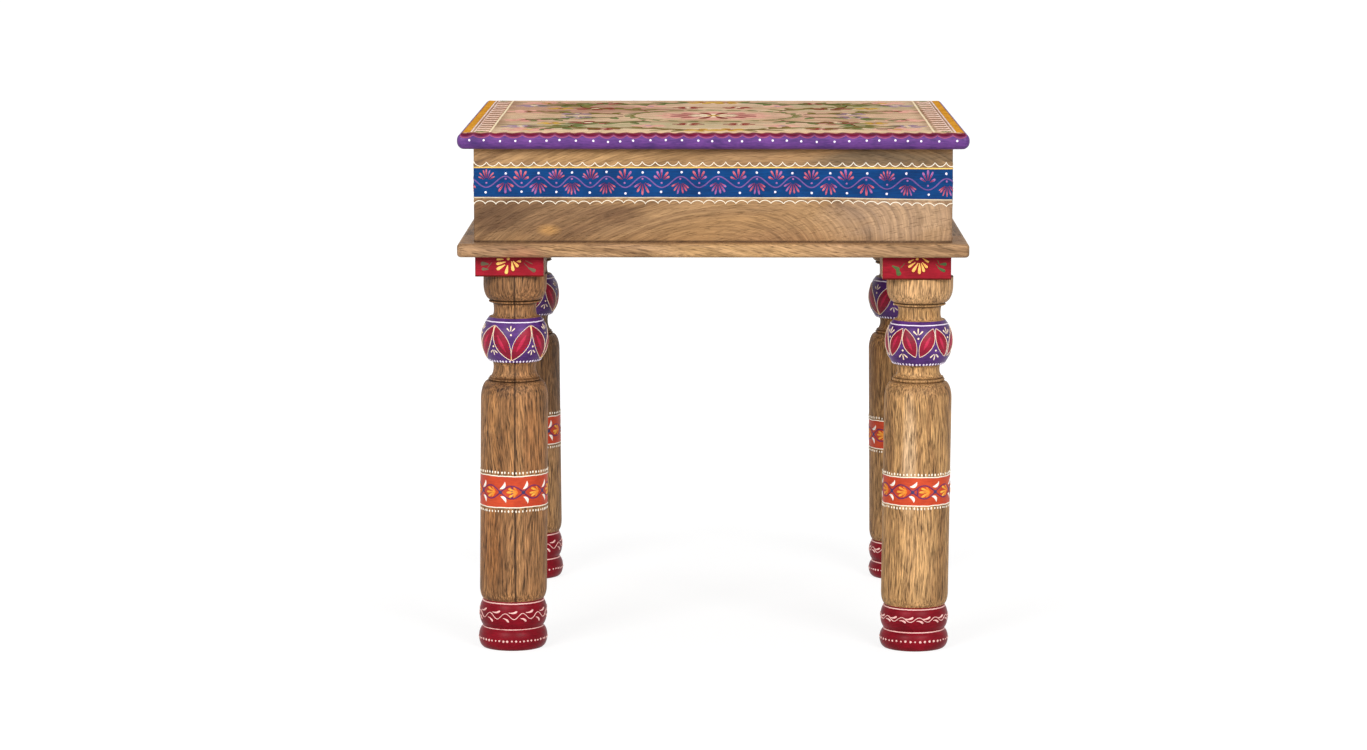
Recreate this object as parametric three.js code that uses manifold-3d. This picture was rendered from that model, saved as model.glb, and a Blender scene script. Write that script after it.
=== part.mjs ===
// A low square table: a plank top with a round edge, an apron of four boards standing on a
// flat ledge, and four turned legs bolted up into corner blocks.
// Millimetres, +Z up, +X to the right. The origin is on the floor, under the middle of the top.

import * as THREE from 'three';
import { mergeVertices } from 'three/addons/utils/BufferGeometryUtils.js';
import Module from 'manifold-3d';

const wasm = await Module();
wasm.setup();

// The table as a whole
const tableWidth = 450; // along X, over the round edges of the top
const tableDepth = 450; // along Y
const tableHeight = 465;

// Working gaps
const clearance = 0.3; // free space round a screw or a bolt in its hole
const overrun = 3; // how far a cutter runs past the face that it opens

// Top: planks glued edge to edge
const topThickness = 15;
const plankShares = [0.22, 0.18, 0.21, 0.17, 0.22]; // widths from front to back, of the depth
const topEdgeRadius = 5.8;
const topEdgeSteps = 4;

// Apron: four boards on edge, the side boards fitted between the front and the back board
const apronSetback = 14.5; // from the edge of the top to the face of the boards
const apronHeight = 83;
const apronThickness = 18;

// Ledge: four flat rails under the apron, the side rails between the front and the back rail
const ledgeLip = 14.5; // how far the ledge stands out past the apron
const ledgeThickness = 12.2;
const ledgeRailWidth = 80;
const ledgeEdgeRadius = 3;
const ledgeEdgeSteps = 3;

// Legs: a square block stays at the top of each, and the rest is turned
const legStock = 60.6; // side of the square block
const legSetback = 0.8; // from the face of the apron to the face of the block
const legSides = 20;
const blockHeight = 18.8;
const cupRadius = 29;
const cupWallHeight = 9;
const cupCurveHeight = 14.6;
const cupFootRadius = 21.2;
const ringRadius = 23.4;
const ringHeight = 2;
const neckEdgeRadius = 20.6; // where a neck meets the ring or the ball
const neckWaistRadius = 18.8;
const upperWaistShare = 0.5; // how far up each neck its waist is
const lowerWaistShare = 0.62;
const upperNeckHeight = 12.7;
const ballRadius = 29.8;
const ballCutRadius = 22.8; // where the ball ends above and below, just past the necks
const ballHeight = 39.8;
const shaftTop = 240.2; // from the floor to the crease where the lower neck starts
const shoulderStartRadius = 23.2;
const shoulderHeight = 15.5;
const shaftRadius = 30;
const shaftHeelHeight = 11.4; // the rounded lower end of the shaft
const pinchRadius = 25.5; // between the shaft and the two rolls of the foot, and at the floor
const upperRollRadius = 30.1;
const upperRollHeight = 22.3;
const lowerRollRadius = 30.6;
const lowerRollHeight = 18.3;
const footShare = 0.45; // how much of a foot's extra height its lower roll takes
const spigotRadius = 15; // wood that runs on from the turned length into the block
const spigotHeight = 8;
const rollSteps = 6; // straight facets on each curve of the profile
const heelSteps = 3;
const shoulderSteps = 4;
const hollowSteps = 2; // on each half of a neck
const ballSteps = 8;
const cupSteps = 4;

// Turned by hand, so the legs differ: drift is how far the turned length sits towards +X of
// the middle of its block, extra is added to the height of the block and foot to that of the foot
const legs = [
  { name: 'front_left', side: -1, end: -1, drift: 1.5, extra: -0.9, foot: 2.2 },
  { name: 'front_right', side: 1, end: -1, drift: 2.5, extra: 1.5, foot: -2.5 },
  { name: 'back_left', side: -1, end: 1, drift: 0, extra: -0.9, foot: 3.5 },
  { name: 'back_right', side: 1, end: 1, drift: 3, extra: 1.5, foot: -4.5 },
];

// Corner blocks inside the apron, standing on the ledge
const cornerBlockSide = 42;
const cornerBlockHeight = 40;
const cornerBlockChamfer = 16; // on the corner that faces the middle of the table

// Hanger bolts, with a washer and a nut on each corner block
const boltRadius = 4;
const boltInLeg = 36;
const boltTipHeight = 8;
const boltPastNut = 3;
const boltSides = 12;
const washerRadius = 8;
const washerThickness = 1.6;
const nutWidth = 13; // across the flats
const nutHeight = 6.5;
const hexSides = 6;

// Cleats along the side boards, under the top
const cleatWidth = 20;
const cleatHeight = 25;
const cleatEndGap = 12; // from the last screw to the end of the cleat
const cleatScrewReachShare = 0.3; // how far out the two screws into the side board sit

// Screws: one size up into the planks, one sideways into a side board, one up into an apron board
const screwHeadRadius = 3.8;
const screwHeadHeight = 2.4;
const screwShankRadius = 2;
const screwTipHeight = 5;
const screwSides = 8;
const topScrewLength = 34;
const cleatScrewLength = 30;
const ledgeScrewLength = 35;
const ledgeScrewReachShare = 0.5; // how far out the two screws sit, of half an apron board

// Heights and half sizes that follow from those
const topUnderside = tableHeight - topThickness;
const apronUnderside = topUnderside - apronHeight;
const legHeight = apronUnderside - ledgeThickness;
const apronHalfWidth = tableWidth / 2 - apronSetback;
const apronHalfDepth = tableDepth / 2 - apronSetback;
const ledgeHalfWidth = apronHalfWidth + ledgeLip;
const ledgeHalfDepth = apronHalfDepth + ledgeLip;
const insideHalfWidth = apronHalfWidth - apronThickness;
const insideHalfDepth = apronHalfDepth - apronThickness;
const legX = apronHalfWidth - legSetback - legStock / 2;
const legY = apronHalfDepth - legSetback - legStock / 2;
const washerSeat = apronUnderside + cornerBlockHeight;
const boltBottom = legHeight - boltInLeg;
const boltTop = washerSeat + washerThickness + nutHeight + boltPastNut;

// Finishes
const topWood = new THREE.MeshStandardMaterial({ color: '#b99a72', roughness: 0.6, metalness: 0 });
const boardWood = new THREE.MeshStandardMaterial({ color: '#a08058', roughness: 0.65, metalness: 0 });
const ledgeWood = new THREE.MeshStandardMaterial({ color: '#a98a60', roughness: 0.65, metalness: 0 });
const legWood = new THREE.MeshStandardMaterial({ color: '#94744c', roughness: 0.6, metalness: 0 });
const innerWood = new THREE.MeshStandardMaterial({ color: '#b8966a', roughness: 0.8, metalness: 0 });
const steel = new THREE.MeshStandardMaterial({ color: '#b9bcc0', roughness: 0.35, metalness: 1 });

const table = new THREE.Group();

function addPiece(name, geometry, material, position = [0, 0, 0], rotation = [0, 0, 0]) {
  const piece = new THREE.Mesh(geometry, material);
  piece.name = name;
  piece.position.set(...position);
  piece.rotation.set(...rotation);
  table.add(piece);
}

// Makes a solid that can be joined and cut from a closed geometry
function solidOf(geometry) {
  const bare = geometry.clone();
  bare.deleteAttribute('normal');
  bare.deleteAttribute('uv');
  const merged = mergeVertices(bare);
  const corners = merged.index.array;
  const kept = [];
  for (let i = 0; i < corners.length; i += 3) {
    const [a, b, c] = corners.subarray(i, i + 3);
    if (a !== b && b !== c && c !== a) kept.push(a, b, c);
  }
  const vertProperties = Float32Array.from(merged.attributes.position.array);
  const triVerts = Uint32Array.from(kept);
  return new wasm.Manifold(new wasm.Mesh({ numProp: 3, vertProperties, triVerts }));
}

function geometryOf(solid) {
  const { vertProperties, triVerts } = solid.getMesh();
  const geometry = new THREE.BufferGeometry();
  geometry.setAttribute('position', new THREE.BufferAttribute(vertProperties, 3));
  geometry.setIndex(new THREE.BufferAttribute(triVerts, 1));
  geometry.computeVertexNormals();
  return geometry;
}

const cutAll = (solid, cutters) => cutters.reduce((left, cutter) => left.subtract(cutter), solid);

// A box between two corners
function boxBetween(low, high) {
  const size = high.map((value, axis) => value - low[axis]);
  const middle = high.map((value, axis) => (value + low[axis]) / 2);
  return new THREE.BoxGeometry(...size).translate(...middle);
}

// Turns a profile of [radius, height] points, listed from the bottom up, about the Z axis
function turned(profile, sides) {
  const points = profile.map(([radius, height]) => new THREE.Vector2(radius, height));
  return new THREE.LatheGeometry(points, sides).rotateX(Math.PI / 2);
}

// A bar along Z whose section has rounded corners
function roundedBar(width, thickness, radius, length, steps) {
  const x = width / 2 - radius;
  const y = thickness / 2 - radius;
  const section = new THREE.Shape();
  section.absarc(x, y, radius, 0, Math.PI / 2);
  section.absarc(-x, y, radius, Math.PI / 2, Math.PI);
  section.absarc(-x, -y, radius, Math.PI, Math.PI * 1.5);
  section.absarc(x, -y, radius, Math.PI * 1.5, Math.PI * 2);
  section.closePath();
  const options = { depth: length, bevelEnabled: false, curveSegments: steps };
  return new THREE.ExtrudeGeometry(section, options).translate(0, 0, -length / 2);
}

// A flat slab with the same rounding on all four sides, meeting in mitres at the corners:
// what two rounded bars, one along X and one along Y, have in common
function roundedSlab(width, depth, thickness, radius, steps, bottom) {
  const alongX = roundedBar(depth, thickness, radius, width + 2 * overrun, steps);
  const yzx = new THREE.Matrix4().makeBasis(
    new THREE.Vector3(0, 1, 0),
    new THREE.Vector3(0, 0, 1),
    new THREE.Vector3(1, 0, 0),
  );
  const alongY = roundedBar(width, thickness, radius, depth + 2 * overrun, steps);
  alongX.applyMatrix4(yzx).translate(0, 0, bottom + thickness / 2);
  alongY.rotateX(Math.PI / 2).translate(0, 0, bottom + thickness / 2);
  return solidOf(alongX).intersect(solidOf(alongY));
}

// Countersunk screw standing on its head: the head's flat face is at height 0, the point is up.
// With a gap it is the hole for the screw, opened past the head's face.
function screwGeometry(length, gap = 0) {
  const mouth = gap > 0 ? -overrun : 0;
  const profile = [
    [0, mouth],
    [screwHeadRadius + gap, mouth],
    [screwHeadRadius + gap, 0],
    [screwShankRadius + gap, screwHeadHeight],
    [screwShankRadius + gap, length - screwTipHeight],
    [0, length + gap],
  ];
  const needed = gap > 0 ? profile : profile.filter((point, index) => index !== 1);
  return turned(needed, screwSides);
}

// Screws up through the ledge: where each one's head lies, and its turn from pointing up
const ledgeScrewX = apronHalfWidth * ledgeScrewReachShare;
const ledgeScrewY = insideHalfDepth * ledgeScrewReachShare;
const boardMiddleX = apronHalfWidth - apronThickness / 2;
const boardMiddleY = apronHalfDepth - apronThickness / 2;
const ledgeScrews = [];
for (const [index, reach] of [-1, 1].entries()) {
  const number = index + 1;
  const across = reach * ledgeScrewX;
  const along = reach * ledgeScrewY;
  ledgeScrews.push({ name: `ledge_screw_front_${number}`, at: [across, -boardMiddleY, legHeight] });
  ledgeScrews.push({ name: `ledge_screw_back_${number}`, at: [across, boardMiddleY, legHeight] });
  ledgeScrews.push({ name: `ledge_screw_left_${number}`, at: [-boardMiddleX, along, legHeight] });
  ledgeScrews.push({ name: `ledge_screw_right_${number}`, at: [boardMiddleX, along, legHeight] });
}
for (const screw of ledgeScrews) Object.assign(screw, { turn: [0, 0, 0], length: ledgeScrewLength });

// Planks from front to back, each with the Y where it starts and ends
let plankStart = -tableDepth / 2;
const planks = plankShares.map((share) => {
  const plank = { start: plankStart, end: plankStart + share * tableDepth };
  plankStart = plank.end;
  return plank;
});

// Screws up through the cleats, one in each plank, and sideways through them into the boards
const cleatHalfLength = insideHalfDepth - cornerBlockSide;
const cleatBottom = topUnderside - cleatHeight;
const cleatMiddleX = insideHalfWidth - cleatWidth / 2;
const lastTopScrewY = cleatHalfLength - cleatEndGap;
const topScrews = [];
const cleatScrews = [];
for (const [sideName, side] of [['left', -1], ['right', 1]]) {
  for (const [index, plank] of planks.entries()) {
    const middle = (plank.start + plank.end) / 2;
    const y = Math.max(-lastTopScrewY, Math.min(lastTopScrewY, middle));
    topScrews.push({
      name: `top_screw_${sideName}_${index + 1}`,
      at: [side * cleatMiddleX, y, cleatBottom],
      turn: [0, 0, 0],
      length: topScrewLength,
    });
  }
  for (const [index, reach] of [-1, 1].entries()) {
    cleatScrews.push({
      name: `cleat_screw_${sideName}_${index + 1}`,
      at: [
        side * (insideHalfWidth - cleatWidth),
        reach * cleatHalfLength * cleatScrewReachShare,
        cleatBottom + cleatHeight / 2,
      ],
      turn: [0, side * Math.PI / 2, 0],
      length: cleatScrewLength,
    });
  }
}

// The hole for a screw, where the screw goes
function screwHole(screw) {
  const placement = new THREE.Matrix4().makeRotationFromEuler(new THREE.Euler(...screw.turn));
  placement.setPosition(...screw.at);
  return solidOf(screwGeometry(screw.length, clearance).applyMatrix4(placement));
}
const ledgeHoles = ledgeScrews.map(screwHole);
const topHoles = topScrews.map(screwHole);
const cleatHoles = cleatScrews.map(screwHole);

// Hanger bolt, point down. With a gap it is the hole for the bolt.
function boltGeometry(gap = 0) {
  const profile = [
    [0, boltBottom - gap],
    [boltRadius + gap, boltBottom + boltTipHeight],
    [boltRadius + gap, boltTop + gap],
    [0, boltTop + gap],
  ];
  return turned(profile, boltSides);
}
const boltHole = solidOf(boltGeometry(clearance));
const boltHoles = legs.map((leg) => boltHole.translate(leg.side * legX, leg.end * legY, 0));

// Top planks
const topSlab = cutAll(
  roundedSlab(tableWidth, tableDepth, topThickness, topEdgeRadius, topEdgeSteps, topUnderside),
  topHoles,
);
for (const [index, plank] of planks.entries()) {
  const isFirst = index === 0;
  const isLast = index === planks.length - 1;
  const low = [-tableWidth / 2 - overrun, plank.start - (isFirst ? overrun : 0), topUnderside - overrun];
  const high = [tableWidth / 2 + overrun, plank.end + (isLast ? overrun : 0), tableHeight + overrun];
  const piece = topSlab.intersect(solidOf(boxBetween(low, high)));
  addPiece(`top_plank_${index + 1}`, geometryOf(piece), topWood);
}

// Cleats and the screws that hold the top to the side boards
for (const [sideName, side] of [['left', -1], ['right', 1]]) {
  const xs = [side * insideHalfWidth, side * (insideHalfWidth - cleatWidth)];
  const low = [Math.min(...xs), -cleatHalfLength, cleatBottom];
  const high = [Math.max(...xs), cleatHalfLength, topUnderside];
  const cleat = cutAll(solidOf(boxBetween(low, high)), [...topHoles, ...cleatHoles]);
  addPiece(`top_cleat_${sideName}`, geometryOf(cleat), innerWood);
}

// Apron boards
const apronBoards = {
  front: [[-apronHalfWidth, -apronHalfDepth], [apronHalfWidth, -insideHalfDepth]],
  back: [[-apronHalfWidth, insideHalfDepth], [apronHalfWidth, apronHalfDepth]],
  left: [[-apronHalfWidth, -insideHalfDepth], [-insideHalfWidth, insideHalfDepth]],
  right: [[insideHalfWidth, -insideHalfDepth], [apronHalfWidth, insideHalfDepth]],
};
for (const [sideName, [low, high]] of Object.entries(apronBoards)) {
  const board = solidOf(boxBetween([...low, apronUnderside], [...high, topUnderside]));
  addPiece(`apron_${sideName}`, geometryOf(cutAll(board, [...ledgeHoles, ...cleatHoles])), boardWood);
}

// Ledge rails
const ledgeInsideX = ledgeHalfWidth - ledgeRailWidth;
const ledgeInsideY = ledgeHalfDepth - ledgeRailWidth;
const ledgeEndX = ledgeHalfWidth + overrun;
const ledgeEndY = ledgeHalfDepth + overrun;
const ledgeRails = {
  front: [[-ledgeEndX, -ledgeEndY], [ledgeEndX, -ledgeInsideY]],
  back: [[-ledgeEndX, ledgeInsideY], [ledgeEndX, ledgeEndY]],
  left: [[-ledgeEndX, -ledgeInsideY], [-ledgeInsideX, ledgeInsideY]],
  right: [[ledgeInsideX, -ledgeInsideY], [ledgeEndX, ledgeInsideY]],
};
const ledgeSlab = cutAll(
  roundedSlab(
    2 * ledgeHalfWidth,
    2 * ledgeHalfDepth,
    ledgeThickness,
    ledgeEdgeRadius,
    ledgeEdgeSteps,
    legHeight,
  ),
  [...ledgeHoles, ...boltHoles],
);
for (const [sideName, [low, high]] of Object.entries(ledgeRails)) {
  const cutter = boxBetween([...low, legHeight - overrun], [...high, apronUnderside + overrun]);
  addPiece(`ledge_${sideName}`, geometryOf(ledgeSlab.intersect(solidOf(cutter))), ledgeWood);
}

// The curves of a leg, each a list of [radius, height] points from the bottom up
const quarter = Math.PI / 2;
const steps = (count) => Array.from({ length: count + 1 }, (unused, index) => index / count);

// A roll that swells from one radius and back: half an ellipse
function roll(bottom, height, innerRadius, outerRadius) {
  return steps(rollSteps).map((t) => [
    innerRadius + (outerRadius - innerRadius) * Math.sin(Math.PI * t),
    bottom + (height / 2) * (1 - Math.cos(Math.PI * t)),
  ]);
}

// A hollow that draws in to a waist, at a share of its height, and out again: two quarter ellipses
function hollow(bottom, height, startRadius, waistRadius, endRadius, waistShare) {
  const lowerHeight = height * waistShare;
  const upperHeight = height - lowerHeight;
  const lower = steps(hollowSteps).map((t) => [
    waistRadius + (startRadius - waistRadius) * (1 - Math.sin(quarter * t)),
    bottom + lowerHeight * (1 - Math.cos(quarter * t)),
  ]);
  const upper = steps(hollowSteps).slice(1).map((t) => [
    waistRadius + (endRadius - waistRadius) * (1 - Math.cos(quarter * t)),
    bottom + lowerHeight + upperHeight * Math.sin(quarter * t),
  ]);
  return [...lower, ...upper];
}

// A curve that opens upwards from a narrow bottom to an upright wall: a quarter ellipse
function bowl(bottom, height, bottomRadius, topRadius, count) {
  return steps(count).map((t) => [
    bottomRadius + (topRadius - bottomRadius) * Math.sin(quarter * t),
    bottom + height * (1 - Math.cos(quarter * t)),
  ]);
}

// A curve that closes upwards from an upright wall to a narrow top: the bowl upside down
function dome(bottom, height, bottomRadius, topRadius, count) {
  return steps(count).map((t) => [
    topRadius + (bottomRadius - topRadius) * Math.cos(quarter * t),
    bottom + height * Math.sin(quarter * t),
  ]);
}

// A ball cut off above and below where it meets the necks
function ball(bottom, height, radius, cutRadius) {
  const reach = Math.acos(cutRadius / radius);
  const halfHeight = height / 2 / Math.sin(reach);
  return steps(ballSteps).map((t) => [
    radius * Math.cos(reach * (2 * t - 1)),
    bottom + height / 2 + halfHeight * Math.sin(reach * (2 * t - 1)),
  ]);
}

// The turned length of a leg, from the floor up to the underside of its block
function legProfile(blockUnderside, footExtra) {
  const cupCurveBottom = blockUnderside - cupWallHeight - cupCurveHeight;
  const ringBottom = cupCurveBottom - ringHeight;
  const upperNeckBottom = ringBottom - upperNeckHeight;
  const ballBottom = upperNeckBottom - ballHeight;
  const lowerNeckHeight = ballBottom - shaftTop;
  const footPinch = lowerRollHeight + footExtra * footShare;
  const footTop = lowerRollHeight + upperRollHeight + footExtra;
  const necks = [neckEdgeRadius, neckWaistRadius, neckEdgeRadius, upperWaistShare];
  const lowerNeck = [shoulderStartRadius, neckWaistRadius, neckEdgeRadius, lowerWaistShare];
  return [
    [0, 0],
    ...roll(0, footPinch, pinchRadius, lowerRollRadius),
    ...roll(footPinch, footTop - footPinch, pinchRadius, upperRollRadius).slice(1),
    ...bowl(footTop, shaftHeelHeight, pinchRadius, shaftRadius, heelSteps).slice(1),
    ...dome(shaftTop - shoulderHeight, shoulderHeight, shaftRadius, shoulderStartRadius, shoulderSteps),
    ...hollow(shaftTop, lowerNeckHeight, ...lowerNeck).slice(1),
    ...ball(ballBottom, ballHeight, ballRadius, ballCutRadius),
    ...hollow(upperNeckBottom, upperNeckHeight, ...necks),
    [ringRadius, ringBottom],
    [ringRadius, cupCurveBottom],
    ...bowl(cupCurveBottom, cupCurveHeight, cupFootRadius, cupRadius, cupSteps),
    [cupRadius, blockUnderside],
    [spigotRadius, blockUnderside],
    [spigotRadius, blockUnderside + spigotHeight],
    [0, blockUnderside + spigotHeight],
  ];
}

for (const leg of legs) {
  const blockUnderside = legHeight - blockHeight - leg.extra;
  const half = legStock / 2;
  const block = solidOf(boxBetween([-half, -half, blockUnderside], [half, half, legHeight]));
  const profile = legProfile(blockUnderside, leg.foot);
  const turning = solidOf(turned(profile, legSides)).translate(leg.drift, 0, 0);
  const solid = block.add(turning).subtract(boltHole);
  addPiece(`leg_${leg.name}`, geometryOf(solid), legWood, [leg.side * legX, leg.end * legY, 0]);
}

// Corner blocks: square, tight in the corner of the apron, with the inner corner cut off
for (const leg of legs) {
  const outer = [leg.side * insideHalfWidth, leg.end * insideHalfDepth];
  const inner = [outer[0] - leg.side * cornerBlockSide, outer[1] - leg.end * cornerBlockSide];
  const outline = new THREE.Shape([
    new THREE.Vector2(outer[0], outer[1]),
    new THREE.Vector2(inner[0], outer[1]),
    new THREE.Vector2(inner[0], inner[1] + leg.end * cornerBlockChamfer),
    new THREE.Vector2(inner[0] + leg.side * cornerBlockChamfer, inner[1]),
    new THREE.Vector2(outer[0], inner[1]),
  ]);
  const raised = new THREE.ExtrudeGeometry(outline, { depth: cornerBlockHeight, bevelEnabled: false });
  const block = cutAll(solidOf(raised.translate(0, 0, apronUnderside)), boltHoles);
  addPiece(`corner_block_${leg.name}`, geometryOf(block), innerWood);
}

// Hanger bolts, washers and nuts
const washerProfile = [
  [boltRadius + clearance, 0],
  [washerRadius, 0],
  [washerRadius, washerThickness],
  [boltRadius + clearance, washerThickness],
  [boltRadius + clearance, 0],
];
const nutOutline = new THREE.Shape(steps(hexSides).slice(1).map((t) => {
  const cornerRadius = nutWidth / 2 / Math.cos(Math.PI / hexSides);
  const angle = 2 * Math.PI * t;
  return new THREE.Vector2(cornerRadius * Math.cos(angle), cornerRadius * Math.sin(angle));
}));
const nutHole = new THREE.Path().absarc(0, 0, boltRadius + clearance, 0, 2 * Math.PI);
nutOutline.holes.push(nutHole);
for (const leg of legs) {
  const at = (height) => [leg.side * legX, leg.end * legY, height];
  const nut = new THREE.ExtrudeGeometry(nutOutline, {
    depth: nutHeight,
    bevelEnabled: false,
    curveSegments: boltSides / 2,
  });
  addPiece(`leg_bolt_${leg.name}`, boltGeometry(), steel, at(0));
  addPiece(`leg_washer_${leg.name}`, turned(washerProfile, boltSides), steel, at(washerSeat));
  addPiece(`leg_nut_${leg.name}`, nut, steel, at(washerSeat + washerThickness));
}

// Screws
for (const screw of [...topScrews, ...cleatScrews, ...ledgeScrews]) {
  addPiece(screw.name, screwGeometry(screw.length), steel, screw.at, screw.turn);
}

export default table;
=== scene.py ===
import math

import bpy
import numpy as np
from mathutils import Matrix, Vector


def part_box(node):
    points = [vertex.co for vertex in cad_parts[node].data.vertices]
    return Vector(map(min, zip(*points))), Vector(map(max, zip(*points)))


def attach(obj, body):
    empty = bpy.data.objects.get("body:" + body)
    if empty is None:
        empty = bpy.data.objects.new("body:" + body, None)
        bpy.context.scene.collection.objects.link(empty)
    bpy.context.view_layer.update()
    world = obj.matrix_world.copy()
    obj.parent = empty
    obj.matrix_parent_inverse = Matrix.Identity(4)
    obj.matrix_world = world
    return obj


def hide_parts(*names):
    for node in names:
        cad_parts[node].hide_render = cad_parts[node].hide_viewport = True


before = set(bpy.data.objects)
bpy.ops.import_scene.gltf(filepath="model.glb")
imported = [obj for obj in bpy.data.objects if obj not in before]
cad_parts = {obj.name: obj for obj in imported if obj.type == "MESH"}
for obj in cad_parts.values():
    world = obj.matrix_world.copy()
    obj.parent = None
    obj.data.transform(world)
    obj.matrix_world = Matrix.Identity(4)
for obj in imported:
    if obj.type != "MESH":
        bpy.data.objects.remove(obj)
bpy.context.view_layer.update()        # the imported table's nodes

# A low table with painted edges, a painted apron and four turned legs.
# Sizes here are millimetres in the frame's own axes, and addPiece() makes them metres.

toMetres = 0.001
quarter = math.pi / 2
fullTurn = 2 * math.pi
creaseAngle = math.radians(50)        # edges that turn more than this stay crisp


def nodeBox(name):
    low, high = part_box(name)        # metres
    return np.array(low) / toMetres, np.array(high) / toMetres


topLow, topHigh = nodeBox("top_plank_1")
apronLow, apronHigh = nodeBox("apron_front")
ledgeLow = nodeBox("ledge_front")[0]
tableHalf = topHigh[0]
apronHalf = apronHigh[0]


# Meshes

def gridFaces(rows, columns, closeRows):
    # Quads between the neighbours of a rows by columns grid whose columns close in a ring,
    # numbered row after row
    row = np.arange(rows if closeRows else rows - 1)[:, None]
    column = np.arange(columns)[None, :]
    nextRow = (row + 1) % rows * columns
    nextColumn = (column + 1) % columns
    here = row * columns
    corners = (here + column, here + nextColumn, nextRow + nextColumn, nextRow + column)
    return np.stack(np.broadcast_arrays(*corners), -1).reshape(-1, 4)


def endFaces(first, columns, facesBack):
    # Quads that close the end of a tube by pairing the points of its two halves
    j = np.arange(columns // 2 - 1)
    faces = first + np.stack([j, j + 1, columns - 2 - j, columns - 1 - j], -1)
    return faces[:, ::-1] if facesBack else faces


def addPiece(name, points, faces, material, replaced=()):
    mesh = bpy.data.meshes.new(name)
    mesh.from_pydata((points.reshape(-1, 3) * toMetres).tolist(), [], faces)
    mesh.polygons.foreach_set("use_smooth", np.ones(len(mesh.polygons), bool))
    mesh.materials.append(material)
    mesh.update()
    mesh.set_sharp_from_angle(angle=creaseAngle)
    piece = bpy.data.objects.new(name, mesh)
    bpy.context.scene.collection.objects.link(piece)
    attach(piece, "root")
    if replaced:
        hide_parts(*replaced)
    return piece


def addPaint(name, sweeps, colour):
    # One piece from many closed tubes. A sweep is its points (count, rows, columns, 3) and
    # whether its rows run back into the first one.
    points, faces, first = [], [], 0
    for block, closed in sweeps:
        count, rows, columns = block.shape[:3]
        quads = gridFaces(rows, columns, closed)
        if not closed:
            ends = [endFaces(0, columns, True), endFaces((rows - 1) * columns, columns, False)]
            quads = np.concatenate([quads, *ends])
        starts = first + np.arange(count) * rows * columns
        faces.append((starts[:, None, None] + quads[None]).reshape(-1, 4))
        points.append(block.reshape(-1, 3))
        first += count * rows * columns
    allFaces = np.concatenate(faces).tolist()
    return addPiece(name, np.concatenate(points), allFaces, paint[colour])


def addStack(name, rings, material, replaced=()):
    # A solid from rings of points (rows, columns, 3), from the bottom up, closed by flat ends
    rows, columns = rings.shape[:2]
    faces = gridFaces(rows, columns, False).tolist()
    faces.append(list(range(columns))[::-1])
    faces.append(list(range((rows - 1) * columns, rows * columns)))
    return addPiece(name, rings, faces, material, replaced)


def pairs(first, second):
    # Pairs of two coordinates, of which one may be the same for all
    return np.stack(np.broadcast_arrays(first, second), -1)


def namedRows(columns, table):
    # Each row of a table as a dictionary with the columns' names
    return {name: dict(zip(columns.split(), row)) for name, row in table.items()}


# Surfaces that ornament lies on: each gives the point at s along, t up and h out of the surface

leastCorner = 0.12        # of a square's corner radius stays at its innermost


def squareSide(half, corner):
    # Distance s runs round a square with round corners, seen from above, starting at the middle
    # of the front left corner. Further in, the corner's arc shrinks to a small one on the mitre
    # and the straight part shortens with it. Returns the place function and a side's length.
    straight = half - corner
    length = 2 * straight + quarter * corner
    least = corner * leastCorner

    def place(s, out):
        s, out = np.broadcast_arrays(np.asarray(s, float), np.asarray(out, float))
        side = np.floor(s / length).astype(int)
        along = s - side * length - length / 2
        turn = np.clip((np.abs(along) - straight) / corner, 0, None)
        radius = np.maximum(corner + out, least)
        limit = half + out - radius
        x = np.where(turn > 0, limit + radius * np.sin(turn), np.abs(along) * limit / straight)
        x = x * np.sign(along)
        y = limit + radius * np.cos(turn)
        side = side % 4
        return np.choose(side, [x, y, -x, -y]), np.choose(side, [-y, x, y, -x])

    return place, length


def sideSteps(half, corner, spacing, first=0, sides=4):
    # Values of s along some sides of that square: even steps on the straights, fine ones on arcs
    length = squareSide(half, corner)[1]
    arc = quarter * corner / 2
    straight = np.linspace(arc, length - arc, max(2, int(length / spacing)))
    before, after = np.linspace(0, arc, 4), np.linspace(length - arc, length, 4)
    side = np.concatenate([before[:-1], straight, after[1:-1]])
    steps = np.concatenate([side + (first + k) * length for k in range(sides)])
    return steps if sides == 4 else np.append(steps, (first + sides) * length)


def uprightSides(half, corner, middle=(0, 0)):
    # The four upright faces of a square body: t is the height
    place, length = squareSide(half, corner)

    def surface(s, t, h):
        x, y = place(s, h)
        return np.stack(np.broadcast_arrays(x + middle[0], y + middle[1], t), -1)

    return surface, length


def roundEdge(half, corner, radius, low, high):
    # The edge of a slab and the flat inside it. t is the distance over the edge: 0 at half
    # height, up the upright part, through a quarter circle to the top and then inwards.
    place, length = squareSide(half, corner)
    middle = (low + high) / 2
    upright = (high - low) / 2 - radius

    def surface(s, t, h):
        s, t, h = np.broadcast_arrays(*[np.asarray(v, float) for v in (s, t, h)])
        beyond = t - np.clip(t, -upright, upright)
        turn = np.clip(beyond / radius, -quarter, quarter)
        inside = np.maximum(beyond - quarter * radius, 0)
        x, y = place(s, (radius + h) * np.cos(turn) - radius - inside)
        z = middle + np.clip(t, -upright, upright) + (radius + h) * np.sin(turn)
        return np.stack([x, y, z], -1)

    return surface, length


def topFlat(height):
    def surface(s, t, h):
        return np.stack(np.broadcast_arrays(s, t, height + h), -1)

    return surface


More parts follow.
